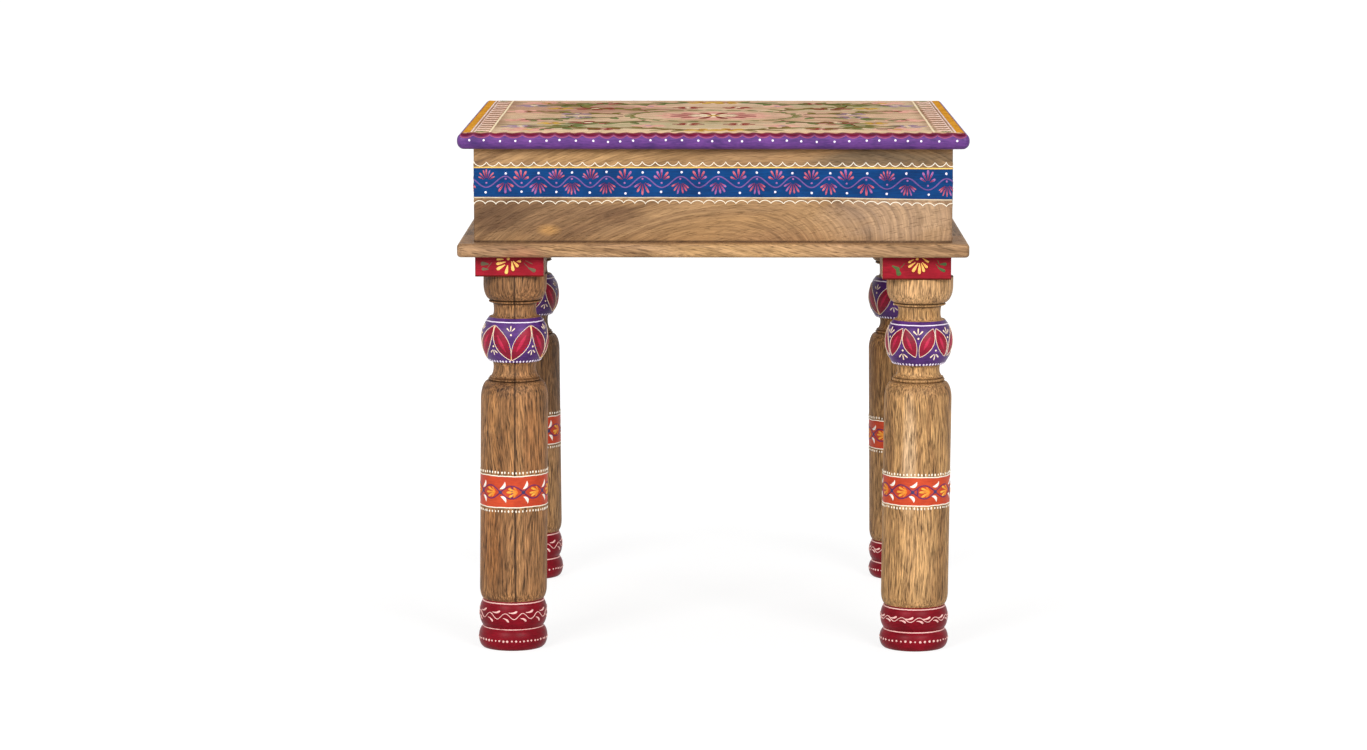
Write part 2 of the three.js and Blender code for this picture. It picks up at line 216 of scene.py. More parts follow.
def turnedSide(profile, middle, lean, unitRadius):
    # The side of a turned leg. s is distance round it at the unit radius, 0 at the front and
    # growing to the right, t is the height, and h is measured square to the profile. The leg's
    # middle line moves to the right by its lean for each millimetre of height.
    radii, heights = profile.T
    slopeR, slopeZ = np.gradient(radii), np.gradient(heights)
    size = np.hypot(slopeR, slopeZ)

    def surface(s, t, h):
        s, t, h = np.broadcast_arrays(*[np.asarray(v, float) for v in (s, t, h)])
        outR = np.interp(t, heights, slopeZ / size)
        outZ = np.interp(t, heights, -slopeR / size)
        radius = np.interp(t, heights, radii) + h * outR
        angle = s / unitRadius - quarter
        z = t + h * outZ
        x = middle[0] + leanShift(lean, z) + radius * np.cos(angle)
        y = middle[1] + radius * np.sin(angle)
        return np.stack([x, y, z], -1)

    return surface


def leanShift(lean, height):
    return lean["share"] * (np.asarray(height) - lean["from"])


# Ornament on those surfaces

beadLook = {"sink": 0.25, "sides": 8}
coatSink = 0.5        # how deep a coat of paint reaches into the wood


def bead(surface, path, width, height, period=None):
    # A round-topped bead of paint along each path: half an ellipse above the surface, and as much
    # below it as it sinks in. Paths are (count, rows, 2). With a period the path closes.
    path = np.asarray(path, float)
    path = path[None] if path.ndim == 2 else path
    if period is None:
        step = np.gradient(path, axis=1)
    else:
        jump = np.array([period, 0.0])
        ends = [path[:, -1:] - jump, path, path[:, :1] + jump]
        longer = np.concatenate(ends, 1)
        step = (longer[:, 2:] - longer[:, :-2]) / 2
    step = step / np.linalg.norm(step, axis=2, keepdims=True)
    across = pairs(-step[..., 1], step[..., 0])
    width = np.broadcast_to(width, path.shape[:2])
    height = np.broadcast_to(height, path.shape[:2])
    sides = beadLook["sides"]
    turn = fullTurn * (np.arange(sides) + 0.5) / sides
    reach, rise = np.cos(turn), np.sin(turn)
    flat = path[:, :, None] + across[:, :, None] * (width[..., None] / 2 * reach)[..., None]
    lift = np.where(rise > 0, rise * height[..., None], rise * beadLook["sink"])
    return surface(flat[..., 0], flat[..., 1], lift), period is not None


def ways(turn):
    # Steps of length 1 in each direction
    return pairs(np.cos(turn), np.sin(turn))


def bentPaths(root, direction, length, bend, t):
    # Paths from each root along its direction that bend sideways as a parabola, at shares t
    forward = ways(direction)
    sideways = pairs(-forward[:, 1], forward[:, 0])
    run = t[None, :, None] * length[:, None, None]
    curve = (t * (1 - t) * 4)[None, :, None] * (bend * length)[:, None, None]
    return root[:, None] + forward[:, None] * run + sideways[:, None] * curve


def drop(surface, root, direction, length, width, height, bend=0, tail=0.12, rows=9):
    # Teardrops along such paths. Their width grows from a thin tail to a round end, as the
    # square root of a half circle.
    root, direction = np.atleast_2d(root), np.atleast_1d(direction)
    length, width, bend = (np.broadcast_to(v, direction.shape) for v in (length, width, bend))
    t = (1 - np.cos(math.pi * np.linspace(0.03, 0.985, rows))) / 2
    path = bentPaths(root, direction, length, bend, t)
    swell = (tail + (1 - tail) * t ** 1.2) * np.sqrt(np.clip(1 - t ** 6, 0, 1))
    share = swell / swell.max()
    return bead(surface, path, width[:, None] * share, height * share ** 0.7)


def petal(surface, root, direction, length, width, height, bend=0, rows=9):
    # Leaf shapes with both ends pointed: the width is a half sine wave along such paths
    root, direction = np.atleast_2d(root), np.atleast_1d(direction)
    length, width, bend = (np.broadcast_to(v, direction.shape) for v in (length, width, bend))
    t = np.linspace(0.02, 0.98, rows)
    path = bentPaths(root, direction, length, bend, t)
    share = np.sin(math.pi * t)
    return bead(surface, path, width[:, None] * share, height * share ** 0.5)


def dot(surface, places, radius, height, rows=7, tall=0):
    # Round drops: a short bead whose width and height follow a circle. A tall one stands
    # upright, and is that many times as high as it is wide.
    places = np.atleast_2d(places)
    radius = np.broadcast_to(radius, places.shape[0])
    t = -np.cos(math.pi * np.linspace(0.07, 0.93, rows))
    chord = np.sqrt(1 - t ** 2)
    way = np.array([0.0, tall]) if tall else np.array([1.0, 0.0])
    path = places[:, None] + t[None, :, None] * way * radius[:, None, None]
    return bead(surface, path, 2 * radius[:, None] * chord, height * chord)


def skin(surface, alongs, ups, proud, sink=coatSink, closed=False):
    # A thin coat of paint over a patch of surface: the outer face from the top down, and then an
    # inner face, sunk in the wood, from the bottom up. The ups may differ from row to row.
    alongs = np.asarray(alongs, float)
    ups = np.broadcast_to(ups, (len(alongs), np.shape(ups)[-1]))
    loop = np.concatenate([ups[:, ::-1], ups], 1)
    lift = np.where(np.arange(loop.shape[1]) < ups.shape[1], proud, -sink)
    return surface(alongs[:, None], loop, lift[None, :])[None], closed


# Materials

def linear(text):
    # Scene colour from a hex colour as it looks on screen
    values = [int(text[i:i + 2], 16) / 255 for i in (1, 3, 5)]
    return tuple(v / 12.92 if v <= 0.04045 else ((v + 0.055) / 1.055) ** 2.4 for v in values) + (1,)


def addNode(tree, kind, inputs=None, **settings):
    node = tree.nodes.new("ShaderNode" + kind)
    for key, value in settings.items():
        setattr(node, key, value)
    for key, value in (inputs or {}).items():
        if isinstance(value, bpy.types.NodeSocket):
            tree.links.new(value, node.inputs[key])
        else:
            node.inputs[key].default_value = value
    return node


def startMaterial(name):
    material = bpy.data.materials.new(name)
    material.use_nodes = True
    tree = material.node_tree
    place = addNode(tree, "TexCoord").outputs["Object"]
    return material, tree, tree.nodes["Principled BSDF"], place


def stretched(tree, place, scale, shift=(0, 0, 0)):
    mapping = addNode(tree, "Mapping", {"Vector": place, "Scale": scale, "Location": shift})
    return mapping.outputs["Vector"]


def noise(tree, place, detail=2.0, roughness=0.5, output="Fac"):
    inputs = {"Vector": place, "Scale": 1.0, "Detail": detail, "Roughness": roughness}
    return addNode(tree, "TexNoise", inputs).outputs[output]


def ramp(tree, factor, low, high):
    # 0 below low, 1 above high, straight between
    inputs = {"Value": factor, "From Min": low, "From Max": high}
    return addNode(tree, "MapRange", inputs).outputs["Result"]


def calc(tree, operation, a, b=0.0):
    return addNode(tree, "Math", {0: a, 1: b}, operation=operation).outputs[0]


def mix(tree, factor, a, b, blend="MIX"):
    node = addNode(tree, "Mix", {0: factor, 6: a, 7: b}, data_type="RGBA", blend_type=blend)
    return node.outputs[2]


def wash(tree, colour, factor, span, strength, tint):
    # Another tint over the colour, where the factor runs through the span from its first value
    share = calc(tree, "MULTIPLY", ramp(tree, factor, *span), strength)
    return mix(tree, share, colour, tint)


def roughBy(tree, shader, factor, low, high):
    rough = addNode(tree, "MapRange", {"Value": factor, "To Min": low, "To Max": high})
    tree.links.new(rough.outputs["Result"], shader.inputs["Roughness"])


def bump(tree, shader, height, depth):
    node = addNode(tree, "Bump", {"Height": height, "Distance": depth * toMetres, "Strength": 1.0})
    tree.links.new(node.outputs["Normal"], shader.inputs["Normal"])


grainTurns = {"x": (0, 0, 0), "y": (0, 0, -quarter), "z": (0, quarter, 0)}
woodNoises = {
    # scale along and across the grain, what share of the wood's seed shifts each axis, detail, roughness
    "bend": ((0.006, 0.016), (1, 1, 0), 2.0, 0.45),
    "tone": ((0.007, 0.03), (0, 1, 1), 3.0, 0.55),
    "streak": ((0.007, 0.18), (1, 0, 1), 4.0, 0.62),
    "fine": ((0.05, 0.95), (1, 1, 0), 3.0, 0.68),
    "fibre": ((0.05, 2.6), (1, 0, 0), 2.0, 0.6),
    "pore": ((0.085, 1.05), (0, 1, 0), 1.5, 0.5),
}
woodSpans = {
    # the noise values at which each shade starts and is full
    "ringDark": (0.44, 0.28), "warmTone": (0.50, 0.70), "darkTone": (0.46, 0.30), "darkStreak": (0.52, 0.72),
    "lightStreak": (0.46, 0.28), "pores": (0.59, 0.70), "fine": (0.32, 0.68),
}


def grainNoise(tree, place, key, seed, output="Fac"):
    (along, across), shift, detail, roughness = woodNoises[key]
    local = stretched(tree, place, (along, across, across), tuple(seed * v for v in shift))
    return noise(tree, local, detail, roughness, output)


def woodMaterial(name, look):
    # Growth rings are shells round a centre line that the grain follows, bent by slow noise.
    # Their shade is noise along the distance from that line, and fine lines run where it passes
    # its middle value. Tone, streaks, fibres and pores are noise drawn out along the grain.
    material, tree, shader, place = startMaterial(name)
    turns = tuple(a + b for a, b in zip(grainTurns[look["grain"]], (0, look["slant"], 0)))
    turn = {"Rotation": turns, "Scale": (1 / toMetres,) * 3}
    grain = addNode(tree, "Mapping", {"Vector": place, **turn}).outputs["Vector"]
    seed, squeeze, span = look["seed"], look["squeeze"], woodSpans
    bendNoise = grainNoise(tree, grain, "bend", seed, "Color")
    bendOf = {0: bendNoise, 1: (look["bend"],) * 3, 2: grain}
    bent = addNode(tree, "VectorMath", bendOf, operation="MULTIPLY_ADD").outputs[0]
    centre = tuple(-c * s for c, s in zip(look["centre"], (squeeze, 1, 1)))
    shellPlace = stretched(tree, bent, (squeeze, 1, 1), centre)
    distance = addNode(tree, "VectorMath", {0: shellPlace}, operation="LENGTH").outputs["Value"]
    ringInputs = {"W": distance, "Scale": look["ringScale"], "Detail": 3.0, "Roughness": 0.6}
    rings = addNode(tree, "TexNoise", ringInputs, noise_dimensions="1D").outputs[0]
    if look["follow"]:        # the marks run along the arches of the rings
        parts = addNode(tree, "SeparateXYZ", {0: bent})
        inputs = {0: parts.outputs["X"], 1: distance, 2: parts.outputs["Y"]}
        bent = addNode(tree, "CombineXYZ", inputs).outputs[0]
    tone = grainNoise(tree, grain, "tone", seed)
    streak = grainNoise(tree, bent, "streak", seed)
    fine = grainNoise(tree, bent, "fine", seed)
    fibre = grainNoise(tree, grain, "fibre", seed)
    pore = grainNoise(tree, grain, "pore", seed)
    light, middle, dark, warm = (linear(look[key]) for key in ("light", "middle", "dark", "warm"))
    colour = mix(tree, ramp(tree, rings, *look["ringRange"]), middle, light)
    colour = wash(tree, colour, rings, span["ringDark"], look["ringShade"], dark)
    contour = calc(tree, "ABSOLUTE", calc(tree, "SUBTRACT", rings, 0.5))
    colour = wash(tree, colour, contour, (look["ringEdge"], 0.0), look["ringLines"], dark)
    colour = wash(tree, colour, tone, span["warmTone"], look["warmth"], warm)
    colour = wash(tree, colour, tone, span["darkTone"], look["shade"], dark)
    colour = wash(tree, colour, streak, span["darkStreak"], look["streaks"], dark)
    colour = wash(tree, colour, streak, span["lightStreak"], look["gleam"], light)
    for spot in look["patches"]:
        colour = woodPatch(tree, place, tone, colour, *spot)
    pores = ramp(tree, pore, *span["pores"])
    colour = mix(tree, calc(tree, "MULTIPLY", pores, look["pores"]), colour, linear(look["pore"]))
    if "seam" in look:
        colour = glueSeam(tree, grain, colour, look["seam"])
    low, high = 1 - look["contrast"], 1 + look["contrast"] * 0.9
    lowGrey, highGrey = (low, low * 0.98, low * 0.95, 1), (high, high, high * 1.01, 1)
    grey = mix(tree, ramp(tree, fine, *span["fine"]), lowGrey, highGrey)
    colour = mix(tree, 1.0, colour, grey, "MULTIPLY")
    grey = mix(tree, fibre, look["fibreDark"], look["fibreLight"])
    colour = mix(tree, 1.0, colour, grey, "MULTIPLY")
    for groove in look["grooves"]:
        colour = grooveShade(tree, place, fine, colour, *groove)
    tree.links.new(colour, shader.inputs["Base Color"])
    roughBy(tree, shader, fibre, *look["rough"])
    shader.inputs["Specular IOR Level"].default_value = look["gloss"]
    relief = calc(tree, "SUBTRACT", calc(tree, "MULTIPLY", fibre, 0.5), pores)
    bump(tree, shader, relief, look["relief"])
    return material


def woodPatch(tree, place, tone, colour, centre, size, tint, strength):
    # A place of another colour in the wood, also used for painted shade and painted highlights on the legs:
    # inside an ellipsoid, whose edge the tone breaks up
    scale = tuple(1 / toMetres / v for v in size)
    shift = tuple(-c / v for c, v in zip(centre, size))
    local = stretched(tree, place, scale, shift)
    reach = addNode(tree, "VectorMath", {0: local}, operation="LENGTH").outputs["Value"]
    ragged = calc(tree, "MULTIPLY", calc(tree, "SUBTRACT", tone, 0.5), 1.6)
    return wash(tree, colour, calc(tree, "ADD", reach, ragged), (1.15, 0.45), strength, linear(tint))


def grooveShade(tree, place, fine, colour, height, half, strength):
    # Painted shade and dirt in a turned groove or along a joint: a dark ring at a height, uneven along its
    # way
    z = addNode(tree, "SeparateXYZ", {0: place}).outputs["Z"]
    off = calc(tree, "ABSOLUTE", calc(tree, "SUBTRACT", z, height * toMetres))
    share = calc(tree, "MULTIPLY", ramp(tree, off, half * toMetres, half * 0.35 * toMetres), strength)
    share = calc(tree, "MULTIPLY", share, ramp(tree, fine, 0.15, 0.55))
    return mix(tree, share, colour, linear("#331d0f"))


def glueSeam(tree, grain, colour, seam):
    # Two glued halves: the one past the seam is shaded by its own colour, with a dark line between.
    # In grain space of an upright piece the table's X runs along -Z.
    wander = noise(tree, stretched(tree, grain, (0.02, 0, 0)), 1.0)
    parts = addNode(tree, "SeparateXYZ", {0: grain})
    across = calc(tree, "MULTIPLY", parts.outputs["Z"], -1.0)
    across = calc(tree, "SUBTRACT", calc(tree, "ADD", across, wander), seam["place"] + 0.5)
    past = ramp(tree, across, -0.2, 0.2)
    other = mix(tree, 1.0, colour, linear(seam["tint"]), "MULTIPLY")
    other = mix(tree, 0.5, other, linear(seam["tone"]))
    colour = mix(tree, past, colour, other)
    span = (seam["line"], seam["line"] * 0.3)
    return wash(tree, colour, calc(tree, "ABSOLUTE", across), span, 0.85, linear(seam["dark"]))


plainPaint = {
    "brush": (0.15, 0.15, 0.9), "worn": 0.25, "under": "#50331d", "roughness": (0.38, 0.58), "gloss": 0.25,
    "patch": 0.05, "grit": 1.6, "shadeSpan": (0.36, 0.64), "wornSpan": (0.62, 0.80), "relief": 0.08,
}


def paintMaterial(name, light, dark, changes):
    # Brushed paint: its colour drifts between two shades in soft patches and fine brush marks,
    # and thin places let some brown wood through
    look = {**plainPaint, **changes}
    material, tree, shader, place = startMaterial(name)
    place = stretched(tree, place, (1 / toMetres,) * 3)
    patch = noise(tree, stretched(tree, place, (look["patch"],) * 3), 3.0, 0.6)
    brush = noise(tree, stretched(tree, place, look["brush"]), 3.0, 0.6)
    grit = noise(tree, stretched(tree, place, (look["grit"],) * 3), 2.0, 0.6)
    shade = calc(tree, "ADD", calc(tree, "MULTIPLY", patch, 0.5), calc(tree, "MULTIPLY", brush, 0.5))
    colour = mix(tree, ramp(tree, shade, *look["shadeSpan"]), linear(dark), linear(light))
    colour = wash(tree, colour, grit, look["wornSpan"], look["worn"], linear(look["under"]))
    tree.links.new(colour, shader.inputs["Base Color"])
    roughBy(tree, shader, brush, *look["roughness"])
    shader.inputs["Specular IOR Level"].default_value = look["gloss"]
    bump(tree, shader, calc(tree, "ADD", brush, calc(tree, "MULTIPLY", grit, 0.4)), look["relief"])
    return material


paints = {
    # the light and the dark shade, and what differs from plain paint
    "purple": ("#6d3c86", "#432562", {"roughness": (0.32, 0.50)}),
    "wine": ("#720f31", "#4a0821", {"gloss": 0.08}),
    "crimson": ("#8b0d1f", "#670614", {"roughness": (0.32, 0.46), "gloss": 0.12}),
    "blockRed": ("#a1182a", "#760f1a", {"gloss": 0.12}),
    "ballPurple": ("#5f357e", "#391c52", {"roughness": (0.30, 0.45), "gloss": 0.2}),
    "blue": ("#00407b", "#002a59", {"brush": (0.08, 0.08, 0.8), "gloss": 0.12}),
    "orange": ("#d04c26", "#b1371d", {}),
    "gold": ("#eca940", "#c68526", {"worn": 0.4, "brush": (0.6, 0.06, 0.6), "gloss": 0.0}),
    "petalRed": ("#ac2847", "#881a3c", {"worn": 0.1}),
    "petalPink": ("#ce707d", "#af4564", {"worn": 0.05}),
    "petalMauve": ("#ac6da5", "#8a5093", {"worn": 0.05}),
    "petalGap": ("#261438", "#18112f", {"worn": 0.05, "gloss": 0.15}),
    "mauve": ("#7b5596", "#5b3c7d", {"worn": 0.1}),
    "white": ("#fffaf2", "#f6ecdc", {"worn": 0.03}),
    "cream": ("#fff0d6", "#f8d8b4", {"worn": 0.03}),
    "yellow": ("#fdd274", "#f8ae4c", {"worn": 0.05}),
    "lemon": ("#f4bc4a", "#e69a32", {"worn": 0.05}),
    "marigold": ("#f0902c", "#d86c20", {"worn": 0.05}),
    "leafGreen": ("#4a6731", "#2f4c26", {"worn": 0.2}),
    "dullGreen": ("#6d6043", "#534938", {"worn": 0.3}),
    "plum": ("#7d2657", "#531c47", {"worn": 0.1}),
    "ink": ("#4a4070", "#312e53", {"worn": 0.1}),
    "scarlet": ("#9d1131", "#6f0923", {"worn": 0.1}),
    "ember": ("#c52a4e", "#a51438", {"worn": 0.1}),
    # dark red for the petals' backs, and painted shadow for the block's rim lines
    "darkRedAndShadow": ("#671409", "#410805", {"worn": 0.1, "gloss": 0.08}),
    "goldLine": ("#f6d476", "#dcae50", {"worn": 0.1}),
    "dullLine": ("#e0d0b4", "#b8a48a", {"worn": 0.2}),
    "edgeLine": ("#af5978", "#883557", {"worn": 0.1}),
    "lilac": ("#fff8ff", "#f0e0f6", {"worn": 0.03}),
    "blush": ("#fbd4cc", "#f0b4ac", {"worn": 0.03}),
    "innerLine": ("#a55943", "#7d3831", {"worn": 0.2}),
    "rose": ("#f3bda9", "#d08e81", {"worn": 0.25, "under": "#be946a", "gloss": 0.0}),
    "topPink": ("#fff0e8", "#f2cabc", {"worn": 0.1, "under": "#c89c70", "gloss": 0.0}),
    "topGreen": ("#848f5a", "#526034", {"worn": 0.3, "under": "#ac885c", "gloss": 0.0}),
    "topOlive": ("#968b55", "#6b602e", {"worn": 0.3, "under": "#ac885c", "gloss": 0.0}),
    "topRed": ("#a24d42", "#743532", {"worn": 0.25, "under": "#ac815c", "gloss": 0.0}),
    "topStem": ("#762e23", "#501d18", {"worn": 0.2, "gloss": 0.0}),
    "topMauve": ("#b398a7", "#8d7283", {"worn": 0.3, "under": "#b69063", "gloss": 0.0}),
    "topSalmon": ("#ffe4d6", "#f8cab4", {"worn": 0.15, "under": "#b58c70", "gloss": 0.0}),
    "topOchre": ("#ddb357", "#b68935", {"worn": 0.3, "under": "#b69063", "gloss": 0.0}),
    "topCream": ("#fff0d0", "#f2d4a8", {"worn": 0.1, "under": "#d0a878", "gloss": 0.0}),
    "warmWhite": ("#fffaec", "#fff0d8", {"worn": 0.02}),
}
paint = {key: paintMaterial("paint_" + key, *look) for key, look in paints.items()}

mango = {
    "grain": "x", "seed": 0.0, "bend": 26, "squeeze": 0.03, "centre": (0, 0, 0), "ringScale": 0.2,
    "ringRange": (0.38, 0.62), "ringShade": 0.5, "ringLines": 0.3, "ringEdge": 0.03, "contrast": 0.42,
    "light": "#b3885e", "middle": "#966f47", "dark": "#624126", "warm": "#b37f4c", "pore": "#412816",
    "streaks": 0.6, "pores": 0.8, "warmth": 0.70, "shade": 0.45, "gleam": 0.35, "gloss": 0.22,
    "fibreDark": (0.82, 0.81, 0.80, 1), "fibreLight": (1.17, 1.17, 1.16, 1),
    "rough": (0.46, 0.68), "relief": 0.3, "slant": 0, "follow": False, "patches": (), "grooves": (),
}


def mangoWood(name, **changes):
    return woodMaterial(name, {**mango, **changes})


print("materials made")


# Camera, light and floor

cameraLook = {
    "imageWidth": 1367,        # pixels of the photograph
    "focal": 4176.9,           # pixels
    "place": (4.0, -3871.72, 726.91),
    "down": 7.43,              # degrees
    "turn": 0.47,
}


def addCamera():
    look = cameraLook
    data = bpy.data.cameras.new("camera")
    data.sensor_width = 36
    data.lens = look["focal"] / look["imageWidth"] * data.sensor_width
    data.clip_end = 200
    camera = bpy.data.objects.new("camera", data)
    camera.location = np.array(look["place"]) * toMetres
    camera.rotation_euler = (math.radians(90 - look["down"]), 0, math.radians(look["turn"]))
    bpy.context.scene.collection.objects.link(camera)
    bpy.context.scene.camera = camera


lampLook = {
    "left": {"place": (-1.5, -2.72, 1.63), "size": 1.3, "power": 61},
    "right": {"place": (1.41, -2.76, 1.63), "size": 1.3, "power": 61},
    "above": {"place": (0.0, 1.1, 2.5), "size": 2.2, "power": 19},
}
worldLight = 0.307


def addLamps():
    for name, look in lampLook.items():
        data = bpy.data.lights.new(name, "AREA")
        data.size = look["size"]
        data.energy = look["power"]
        lamp = bpy.data.objects.new(name, data)
        lamp.location = look["place"]
        aim = np.array([0, 0, 0.25]) - np.array(look["place"])
        flat = math.hypot(aim[0], aim[1])
        lamp.rotation_euler = (math.atan2(flat, -aim[2]), 0, math.atan2(-aim[0], aim[1]))
        bpy.context.scene.collection.objects.link(lamp)


def seenDirectly(tree):
    # 1 where the eye meets a surface straight, or in gloss or through glass
    path = addNode(tree, "LightPath")
    seen = calc(tree, "MAXIMUM", path.outputs["Is Camera Ray"], path.outputs["Is Glossy Ray"])
    return calc(tree, "MAXIMUM", seen, path.outputs["Is Transmission Ray"])


def addWorld():
    world = bpy.data.worlds.new("studio")
    world.use_nodes = True
    tree = world.node_tree
    background = tree.nodes["Background"]
    background.inputs["Color"].default_value = (1, 1, 1, 1)
    strength = addNode(tree, "MapRange", {"Value": seenDirectly(tree), "To Min": worldLight})
    tree.links.new(strength.outputs["Result"], background.inputs["Strength"])
    bpy.context.scene.world = world


floorLook = {
    "half": 30000, "bounce": 0.65, "matt": 0.25,
    "glowNear": 0.82, "glowFar": 1.0, "near": 0.35, "far": 0.85,        # metres from the middle
}


def addFloor():
    # White to the eye: its own glow carries it, more so further out, and a weak matt layer over
    # that keeps the shadow
    look = floorLook
    material, tree, shader, place = startMaterial("studio_floor")
    tree.nodes.remove(shader)
    drift = noise(tree, stretched(tree, place, (1.3, 1.3, 1.3)), 2.0)
    tone = mix(tree, drift, (look["matt"] * 0.98,) * 3 + (1,), (look["matt"] * 1.02,) * 3 + (1,))
    matt = addNode(tree, "BsdfDiffuse", {"Color": tone})
    reach = addNode(tree, "VectorMath", {0: place}, operation="LENGTH").outputs["Value"]
    span = {"Value": reach, "From Min": look["near"], "From Max": look["far"]}
    glowRange = {"To Min": look["glowNear"], "To Max": look["glowFar"]}
    strength = addNode(tree, "MapRange", {**span, **glowRange}, interpolation_type="SMOOTHSTEP")
    glowInputs = {"Color": (1, 1, 1, 1), "Strength": strength.outputs["Result"]}
    glow = addNode(tree, "Emission", glowInputs)
    both = addNode(tree, "AddShader", {0: matt.outputs[0], 1: glow.outputs[0]})
    bounce = addNode(tree, "BsdfDiffuse", {"Color": (look["bounce"],) * 3 + (1,)})
    choice = {0: seenDirectly(tree), 1: bounce.outputs[0], 2: both.outputs[0]}
    chosen = addNode(tree, "MixShader", choice)
    tree.links.new(chosen.outputs[0], tree.nodes["Material Output"].inputs["Surface"])
    half = look["half"]
    corners = np.array([[-half, -half, 0], [half, -half, 0], [half, half, 0], [-half, half, 0]]) * toMetres
    mesh = bpy.data.meshes.new("floor")
    mesh.from_pydata(corners.tolist(), [], [(0, 1, 2, 3)])
    mesh.materials.append(material)
    floor = bpy.data.objects.new("floor", mesh)
    bpy.context.scene.collection.objects.link(floor)


addCamera()
addLamps()
addWorld()
addFloor()
bpy.context.scene.view_settings.view_transform = "Standard"
print("camera, light and floor set")


# Boards: planks, apron boards and ledge rails

boardLook = {"arcSteps": 6, "cornerSteps": 4, "support": 0.6, "leastCorner": 0.04}


def boardRings(low, high, rounds, corners):
    # A stack of outlines, each side drawn in by its own quarter circle at the top and the bottom.
    # Sides are front, right, back and left, and each corner follows its side. A corner's heights
    # are those of the larger rounding that meets there.
    look = boardLook
    x0, y0, z0 = low
    x1, y1, z1 = high
    quarterTurn = np.linspace(-quarter, 0, look["arcSteps"] + 1)
    turns = np.concatenate([[-quarter], quarterTurn, quarterTurn + quarter, [quarter]])
    extra = np.zeros(len(turns))
    extra[[0, -1]] = look["support"]
    isUpper = np.arange(len(turns)) >= len(turns) // 2
    radii = np.array(rounds, float)
    inset = radii[None, :] * (1 - np.cos(turns[:, None])) + extra[:, None]
    largest = np.maximum(radii, np.roll(radii, -1))[None, :]        # of the sides at each corner
    fromTop = largest * (1 - np.sin(turns[:, None]))
    fromBottom = largest * (1 + np.sin(turns[:, None]))
    heights = np.where(isUpper[:, None], z1 - fromTop, z0 + fromBottom)
    front, right, back, left = (inset[:, k] for k in range(4))
    cornerPoints = [
        (x1 - right, y0 + front, 0, -quarter),
        (x1 - right, y1 - back, 1, 0),
        (x0 + left, y1 - back, 2, quarter),
        (x0 + left, y0 + front, 3, math.pi),
    ]
    columns = []
    for cx, cy, index, startTurn in cornerPoints:
        after = (index + 1) % 4
        smaller = np.minimum(inset[:, index], inset[:, after])
        radius = np.maximum(corners[index] - smaller, look["leastCorner"])
        arc = startTurn + np.linspace(0, quarter, look["cornerSteps"] + 1)
        sx, sy = [(1, -1), (1, 1), (-1, 1), (-1, -1)][index]
        z = heights[:, index]
        for step, turn in enumerate(arc):
            x = cx - sx * radius + radius * math.cos(turn)
            y = cy - sy * radius + radius * math.sin(turn)
            columns.append((x, y, z, step, startTurn))
    rings = []
    support = look["support"]
    for x, y, z, step, startTurn in columns:
        back = (math.sin(startTurn) * support, -math.cos(startTurn) * support)
        if step == 0:
            rings.append(np.stack([x + back[0], y + back[1], z], -1))
        rings.append(np.stack([x, y, z], -1))
        if step == look["cornerSteps"]:
            ahead = (-math.cos(startTurn) * support, -math.sin(startTurn) * support)
            rings.append(np.stack([x + ahead[0], y + ahead[1], z], -1))
    return np.stack(rings, 1)


topLook = {
    "reliefRoom": 0.6,         # how far the wood stays inside the planks' box, for the paint on it
    "edgeRadius": 6.4, "cornerRadius": 5, "jointRound": 0.25,
}
plankLooks = [
    {"seed": 1.3, "centre": (60, -190, 380), "light": "#efd5b3", "middle": "#e0c2a2"},
    {"seed": 5.1, "centre": (-80, -60, 350), "light": "#e8cbab", "middle": "#d5b392"},
    {"seed": 9.7, "centre": (20, 10, 520), "light": "#eed1af", "middle": "#ddba98"},
    {"seed": 14.2, "centre": (140, 95, 400), "light": "#e6caa9", "middle": "#d1af8e"},
    {"seed": 17.9, "centre": (-30, 180, 360), "light": "#eacdaf", "middle": "#d7b594"},
]
washedTop = {
    "dark": "#a07957", "warm": "#e4b694", "streaks": 0.5, "pores": 0.5, "bend": 30, "contrast": 0.4,
    "gloss": 0.0,
    "patches": [        # thin washes of colour under the painted field and borders
        ((-205, 0, 465), (17, 330, 12), "#9a725a", 0.80),
        ((205, 0, 465), (17, 330, 12), "#a07860", 0.80),
        ((-120, 100, 465), (90, 90, 12), "#b37b6c", 0.65),
        ((-60, -120, 465), (110, 50, 12), "#b8b589", 0.55),
        ((130, 130, 465), (80, 60, 12), "#b6b185", 0.55),
        ((60, 0, 465), (120, 60, 12), "#e0af98", 0.50),
        ((0, -208, 465), (260, 30, 12), "#f3d1a7", 0.70),
    ],
}


def addTop():
    room = topLook["reliefRoom"]
    count = len(plankLooks)
    edge = topLook["edgeRadius"]
    for index, look in enumerate(plankLooks):
        low, high = nodeBox(f"top_plank_{index + 1}")
        first, last = index == 0, index == count - 1
        low = low + np.array([room, room if first else 0, 0])
        high = high - np.array([room, room if last else 0, room])
        joint = topLook["jointRound"]
        rounds = [edge if first else joint, edge, edge if last else joint, edge]
        cornerRadius = topLook["cornerRadius"]
        frontCorner = cornerRadius if first else joint
        backCorner = cornerRadius if last else joint
        corners = [frontCorner, backCorner, backCorner, frontCorner]
        material = mangoWood(f"wood_plank_{index + 1}", **{**washedTop, **look})
        rings = boardRings(low, high, rounds, corners)
        addStack(f"plank_{index + 1}", rings, material, [f"top_plank_{index + 1}"])


